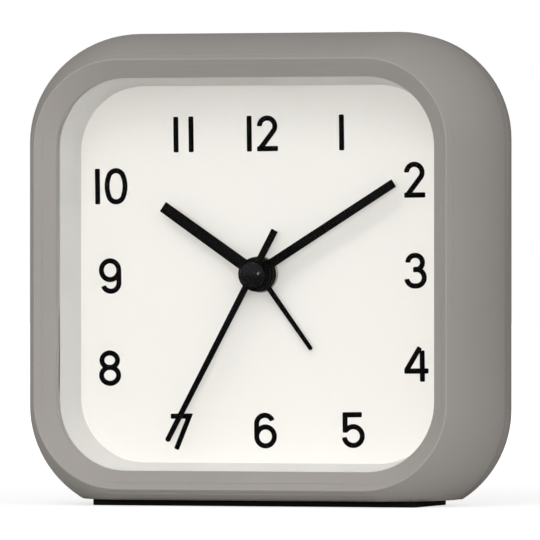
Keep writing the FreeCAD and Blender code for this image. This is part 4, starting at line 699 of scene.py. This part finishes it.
def draw_five(strokes, x):
    left = x - 1.6 * MM
    Pen(strokes, left - STROKE / 2, TOP, 0).line(4.05 * MM)
    Pen(strokes, left, TOP, -90).line(3.6 * MM)
    bowl = 1.88 * MM
    start = 149
    turn = math.radians(start)
    middle = Vector((x + 0.08 * MM, 0, LOW + bowl))
    pen = Pen(
        strokes, middle.x + bowl * math.cos(turn), middle.z + bowl * math.sin(turn), start - 90,
    )
    pen.arc(bowl, -322)


def draw_six(strokes, x):
    across = 4.75 * MM
    tall = 4.85 * MM
    hook = 1.72 * MM
    middle = -TALL / 2 + tall / 2
    oval(strokes, x, middle, across, tall, 0.97)
    pen = Pen(strokes, x - (across - STROKE) / 2, middle, 90)
    pen.line(TOP - hook - middle).arc(hook, -158)


def draw_seven(strokes, x):
    run = 2.85 * MM
    rise = TALL - STROKE / 2
    pen = Pen(strokes, x - 2.25 * MM, TOP, 0)
    pen.line(3.95 * MM, corner=math.degrees(math.atan2(rise, run)) - 180)
    pen.line(math.hypot(rise, run))


def draw_eight(strokes, x):
    oval(strokes, x - 0.05 * MM, TALL / 2 - 2.0 * MM, 4.35 * MM, 4.0 * MM, 0.9)
    oval(strokes, x, 2.15 * MM - TALL / 2, 4.67 * MM, 4.3 * MM, 0.9)


def draw_nine(strokes, x):
    """A six, half a turn on."""
    six = []
    draw_six(six, x)
    half_turn = Matrix.Rotation(math.pi, 3, "Y")
    for bm in six:
        bmesh.ops.rotate(bm, cent=(x, 0, 0), matrix=half_turn, verts=bm.verts)
    strokes.extend(six)


def draw_zero(strokes, x):
    oval(strokes, x, 0, 4.87 * MM, 7.34 * MM)


# The view that the places are read in: size of a pixel at the crest, the camera's turn to the
# right, its distance, and the pixel at which the hands' axis meets the crest
PIXEL = 1 / 5.015 * MM
YAW = math.radians(16.9)
CAMERA_AWAY = 1793 * MM
CREST_PX = Vector((238.3, 274.3))


def on_dial(px, pz):
    """Where a point of the view lies on the dial, from the axis, as (x, z)."""
    back = DIAL_Y - CREST_Y
    x = (px - CREST_PX.x) * PIXEL
    for _ in range(4):
        depth = back * math.cos(YAW) - x * math.sin(YAW)
        grown = 1 + depth / CAMERA_AWAY
        x = ((px - CREST_PX.x) * PIXEL * grown - back * math.sin(YAW)) / math.cos(YAW)
    return x, (CREST_PX.y - pz) * PIXEL * grown


# The middle of each numeral in the view, and its signs with their shifts to the right
NUMERALS = {
    "12": ((262.2, 133.5), ((draw_one, -2.75 * MM), (draw_two, 1.02 * MM))),
    "1": ((341.5, 132.4), ((draw_one, 0),)),
    "2": ((414.4, 179.7), ((draw_two, 0),)),
    "3": ((415.3, 270.6), ((draw_three, 0),)),
    "4": ((416.3, 363.8), ((draw_four, 0),)),
    "5": ((352.8, 430.1), ((draw_five, 0),)),
    "6": ((265.4, 430.6), ((draw_six, 0),)),
    "7": ((181.4, 431.4), ((draw_seven, 0),)),
    "8": ((109.8, 368.2), ((draw_eight, 0),)),
    "9": ((109.9, 276.1), ((draw_nine, 0),)),
    "10": ((111.1, 186.4), ((draw_one, -2.93 * MM), (draw_zero, 1.0 * MM))),
    "11": ((183.3, 134.5), ((draw_one, -1.6 * MM), (draw_one, 1.6 * MM))),
}


def give_ink(bm):
    """Gives a flat stroke the ink's thickness and slightly rounded corners."""
    bmesh.ops.remove_doubles(bm, verts=bm.verts, dist=TINY)
    push = bmesh.ops.extrude_face_region(bm, geom=bm.faces[:])
    moved = [v for v in push["geom"] if isinstance(v, bmesh.types.BMVert)]
    bmesh.ops.translate(bm, vec=(0, INK * 0.9, 0), verts=moved)
    bmesh.ops.recalc_face_normals(bm, faces=bm.faces)
    corners = [
        e for e in sharp_edges(bm, 50) if abs(e.verts[0].co.y - e.verts[1].co.y) > INK / 2
    ]
    bevel_edges(bm, corners, STROKE_CORNER, 3)


def numerals():
    """The whole print; where two strokes cross, the later one lies a hair over the other."""
    bm = bmesh.new()
    for (px, pz), signs in NUMERALS.values():
        x, z = on_dial(px, pz)
        strokes = []
        for draw, shift in signs:
            draw(strokes, shift)
        for layer, stroke in enumerate(strokes):
            give_ink(stroke)
            place = Matrix.Translation((x, DIAL_Y - INK - layer * INK_LAYER, HUB_Z + z))
            place = place @ Matrix.Rotation(-PRINT_TURN, 4, "Y")
            bmesh.ops.transform(stroke, matrix=place, verts=stroke.verts)
            join(bm, stroke)
    piece_from(bm, "dial_numerals", "root", dial_ink)


numerals()


# Hands: a bevelled blade and a boss, drawn at twelve and turned to the hour

BLADE_THICK = 0.35 * MM
BLADE_EDGE = 0.07 * MM
BOSS_EDGE = 0.12 * MM
CAPPED_BLADE_BACK = 0.55 * MM
CAPPED_BOSS_TALL = 1.1 * MM
CAP_RADIUS = 2.5 * MM
CAP_SEAT = 1.0 * MM


def hand(
    node, name, body, length, root, tip, angle, boss, tail=0, rounded=False, capped=False
):
    """A hand from the axis to length, root and tip wide; a capped one is low, under its cap."""
    low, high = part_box(node)
    front, back = low[1], high[1]
    middle = back - CAPPED_BLADE_BACK if capped else (front + back) / 2
    bm = bmesh.new()
    blade = box_solid(
        bm,
        (-root / 2, middle - BLADE_THICK / 2, -tail),
        (root / 2, middle + BLADE_THICK / 2, length),
    )
    end = [v for v in blade if v.co.z > length / 2]
    bmesh.ops.scale(bm, vec=(tip / root, 1, 1), verts=end)
    if rounded:
        corners = [
            e for e in bm.edges
            if all(v in end for v in e.verts) and abs(e.verts[0].co.x - e.verts[1].co.x) < TINY
        ]
        bevel_edges(bm, corners, tip * 0.49, 6)
    soften(bm, BLADE_EDGE, segments=2, angle=50)
    hub = bmesh.new()
    disc_solid(hub, boss, back - CAPPED_BOSS_TALL if capped else front, back)
    soften(hub, BOSS_EDGE, segments=2, angle=50)
    bmesh.ops.translate(hub, vec=(0, 0, -HUB_Z), verts=hub.verts)
    join(bm, hub)
    turn = Matrix.Rotation(math.radians(angle), 4, "Y")
    bmesh.ops.transform(bm, matrix=Matrix.Translation((0, 0, HUB_Z)) @ turn, verts=bm.verts)
    obj = piece_from(bm, name, body, hand_black, smooth=40)
    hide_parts(node)


def second_cap():
    """Domed cap over the hands' axis: half a ball, flattened to the cap's height."""
    low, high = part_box("second_hand")
    front = low[1]
    back = high[1] - CAP_SEAT
    bm = bmesh.new()
    made = bmesh.ops.create_uvsphere(bm, u_segments=48, v_segments=24, radius=CAP_RADIUS)
    bmesh.ops.transform(bm, matrix=UPRIGHT, verts=made["verts"])
    bmesh.ops.bisect_plane(
        bm, geom=bm.verts[:] + bm.edges[:] + bm.faces[:], dist=1e-8,
        plane_co=(0, 0, 0), plane_no=(0, 1, 0), clear_outer=True,
    )
    bmesh.ops.holes_fill(bm, edges=bm.edges[:])
    bmesh.ops.scale(bm, vec=(1, (back - front) / CAP_RADIUS, 1), verts=bm.verts)
    bmesh.ops.translate(bm, vec=(0, back, HUB_Z), verts=bm.verts)
    bmesh.ops.recalc_face_normals(bm, faces=bm.faces)
    piece_from(bm, "second_hand_cap", "seconds", cap_black, smooth=50)


def bush_ring():
    """Rim of the movement's bush, which shows past the bosses on the camera's side."""
    inner, outer = 2.6 * MM, 3.68 * MM
    front = DIAL_Y - 0.35 * MM
    bm = bmesh.new()
    disc_solid(bm, outer, front, DIAL_Y - 0.02 * MM, steps=64)
    soften(bm, 0.12 * MM, segments=3, angle=60)
    obj = piece_from(bm, "bush_rim", "root", brass, smooth=40)
    cutter = bmesh.new()
    disc_solid(cutter, inner, front - MM, DIAL_Y + MM, steps=64)
    cut_with(obj, cutter)
    shade(obj, 40)


hand(
    "alarm_hand", "alarm_hand_blade", "alarm",
    length=18.7 * MM, root=1.1 * MM, tip=0.85 * MM, angle=144.0, boss=3.5 * MM, rounded=True,
)
hand(
    "hour_hand", "hour_hand_blade", "hours",
    length=24.0 * MM, root=2.5 * MM, tip=2.25 * MM, angle=304.6, boss=3.5 * MM,
)
hand(
    "minute_hand", "minute_hand_blade", "minutes",
    length=34.3 * MM, root=1.85 * MM, tip=1.75 * MM, angle=57.9, boss=3.3 * MM,
)
hand(
    "second_hand", "second_hand_blade", "seconds",
    length=38.1 * MM, root=1.45 * MM, tip=1.05 * MM, angle=208.1, boss=2.6 * MM,
    tail=10.0 * MM, rounded=True, capped=True,
)
second_cap()
bush_ring()


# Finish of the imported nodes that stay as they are

FINISHES = (
    (white_dial, ("dial",)),
    (rear_grey_painted_shade, ("battery_door",)),
    (grey_knob, ("alarm_switch",)),
    (natural_plastic, (
        "second_wheel", "third_wheel", "centre_wheel", "cannon_pinion", "minute_wheel",
        "hour_wheel", "alarm_wheel", "alarm_pinion", "step_wheel", "rotor_pinion", "coil_bobbin",
    )),
    (frame_plastic, ("movement_plate", "middle_plate", "movement_housing")),
    (steel, (
        "rotor_magnet", "stator", "crystal", "contact_plus", "contact_spring", "ring_screws",
        "movement_screws",
    )),
    (brass, ("alarm_contact",)),
    (copper, ("coil_winding",)),
    (board_green, ("circuit_board",)),
    (resin_black, ("chip", "sounder")),
    (jacket, ("battery",)),
)
for material, names in FINISHES:
    for node in names:
        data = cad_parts[node].data
        data.materials.clear()
        data.materials.append(material)


# Floor, light and camera

FLOOR_HALF = 6
WORLD_FRONT = 0.90
WORLD_BACK = 0.22
WORLD_FACING = (0.36, -0.93, 0)


def map_range(nodes, start, end, first, last):
    """A Map Range node that takes start to end over to first to last."""
    node = nodes.new("ShaderNodeMapRange")
    node.inputs["From Min"].default_value = start
    node.inputs["From Max"].default_value = end
    node.inputs["To Min"].default_value = first
    node.inputs["To Max"].default_value = last
    return node


def floor():
    """Pale floor that glows up to white for the camera alone, and keeps the shadow."""
    bm = bmesh.new()
    bmesh.ops.create_grid(bm, x_segments=1, y_segments=1, size=FLOOR_HALF)
    obj = mesh_object(bm, "floor")
    material, shader = principled("pale_floor", (0.80, 0.80, 0.80), 0.9)
    nodes, links = material.node_tree.nodes, material.node_tree.links
    glow = nodes.new("ShaderNodeEmission")
    glow.inputs["Color"].default_value = (1, 1, 1, 1)
    spread = nodes.new("ShaderNodeTexCoord")
    reach = nodes.new("ShaderNodeVectorMath")
    reach.operation = "LENGTH"
    rise = map_range(nodes, 0.15, 0.9, 0.7, 1.0)
    links.new(spread.outputs["Object"], reach.inputs[0])
    links.new(reach.outputs["Value"], rise.inputs["Value"])
    links.new(rise.outputs["Result"], glow.inputs["Strength"])
    add = nodes.new("ShaderNodeAddShader")
    mix = nodes.new("ShaderNodeMixShader")
    path = nodes.new("ShaderNodeLightPath")
    links.new(shader.outputs[0], add.inputs[0])
    links.new(glow.outputs[0], add.inputs[1])
    links.new(path.outputs["Is Camera Ray"], mix.inputs[0])
    links.new(shader.outputs[0], mix.inputs[1])
    links.new(add.outputs[0], mix.inputs[2])
    links.new(mix.outputs[0], nodes["Material Output"].inputs["Surface"])
    obj.data.materials.append(material)


def area_light(name, place, size, power):
    """A round lamp that looks at the hands' axis."""
    data = bpy.data.lights.new(name, "AREA")
    data.shape = "DISK"
    data.size = size
    data.energy = power
    obj = bpy.data.objects.new(name, data)
    obj.location = place
    look = Vector((0, 0, HUB_Z)) - Vector(place)
    obj.rotation_euler = look.to_track_quat("-Z", "Y").to_euler()
    bpy.context.scene.collection.objects.link(obj)


def studio_world():
    """Soft light that falls off towards the rear, and plain white for the camera and glass."""
    world = bpy.data.worlds.new("studio")
    bpy.context.scene.world = world
    world.use_nodes = True
    nodes, links = world.node_tree.nodes, world.node_tree.links
    soft = nodes["Background"]
    soft.inputs["Color"].default_value = (1, 0.995, 0.985, 1)
    way = nodes.new("ShaderNodeTexCoord")
    facing = nodes.new("ShaderNodeVectorMath")
    facing.operation = "DOT_PRODUCT"
    facing.inputs[1].default_value = WORLD_FACING
    falloff = map_range(nodes, 0.05, 1, WORLD_BACK, WORLD_FRONT)
    falloff.interpolation_type = "SMOOTHSTEP"
    links.new(way.outputs["Generated"], facing.inputs[0])
    links.new(facing.outputs["Value"], falloff.inputs["Value"])
    links.new(falloff.outputs["Result"], soft.inputs["Strength"])
    white = nodes.new("ShaderNodeBackground")
    white.inputs["Color"].default_value = (1, 1, 1, 1)
    white.inputs["Strength"].default_value = 1
    path = nodes.new("ShaderNodeLightPath")
    either = nodes.new("ShaderNodeMath")
    either.operation = "MAXIMUM"
    mix = nodes.new("ShaderNodeMixShader")
    links.new(path.outputs["Is Camera Ray"], either.inputs[0])
    links.new(path.outputs["Is Transmission Ray"], either.inputs[1])
    links.new(either.outputs[0], mix.inputs[0])
    links.new(soft.outputs[0], mix.inputs[1])
    links.new(white.outputs[0], mix.inputs[2])
    links.new(mix.outputs[0], nodes["World Output"].inputs["Surface"])


def long_lens_camera():
    """Level view from the right of the front, a little off the hands' axis."""
    aside = 6.32 * MM
    raised = 0.857 * MM
    look = Vector((-math.sin(YAW), math.cos(YAW), 0))
    right = Vector((math.cos(YAW), math.sin(YAW), 0))
    lens = bpy.data.cameras.new("long_lens")
    lens.lens = 599.5
    lens.sensor_width = 36
    lens.clip_end = 50
    camera = bpy.data.objects.new("camera", lens)
    crest = Vector((0, CREST_Y, HUB_Z))
    camera.location = crest + right * aside + Vector((0, 0, raised)) - look * CAMERA_AWAY
    camera.rotation_euler = look.to_track_quat("-Z", "Y").to_euler()
    bpy.context.scene.collection.objects.link(camera)
    bpy.context.scene.camera = camera


floor()
area_light("front_key", (0.25, -1.5, 0.06), 0.4, 4.6)
area_light("high_key", (0, -1.0, 0.95), 0.5, 1.1)
studio_world()
long_lens_camera()
bpy.context.scene.view_settings.view_transform = "Standard"
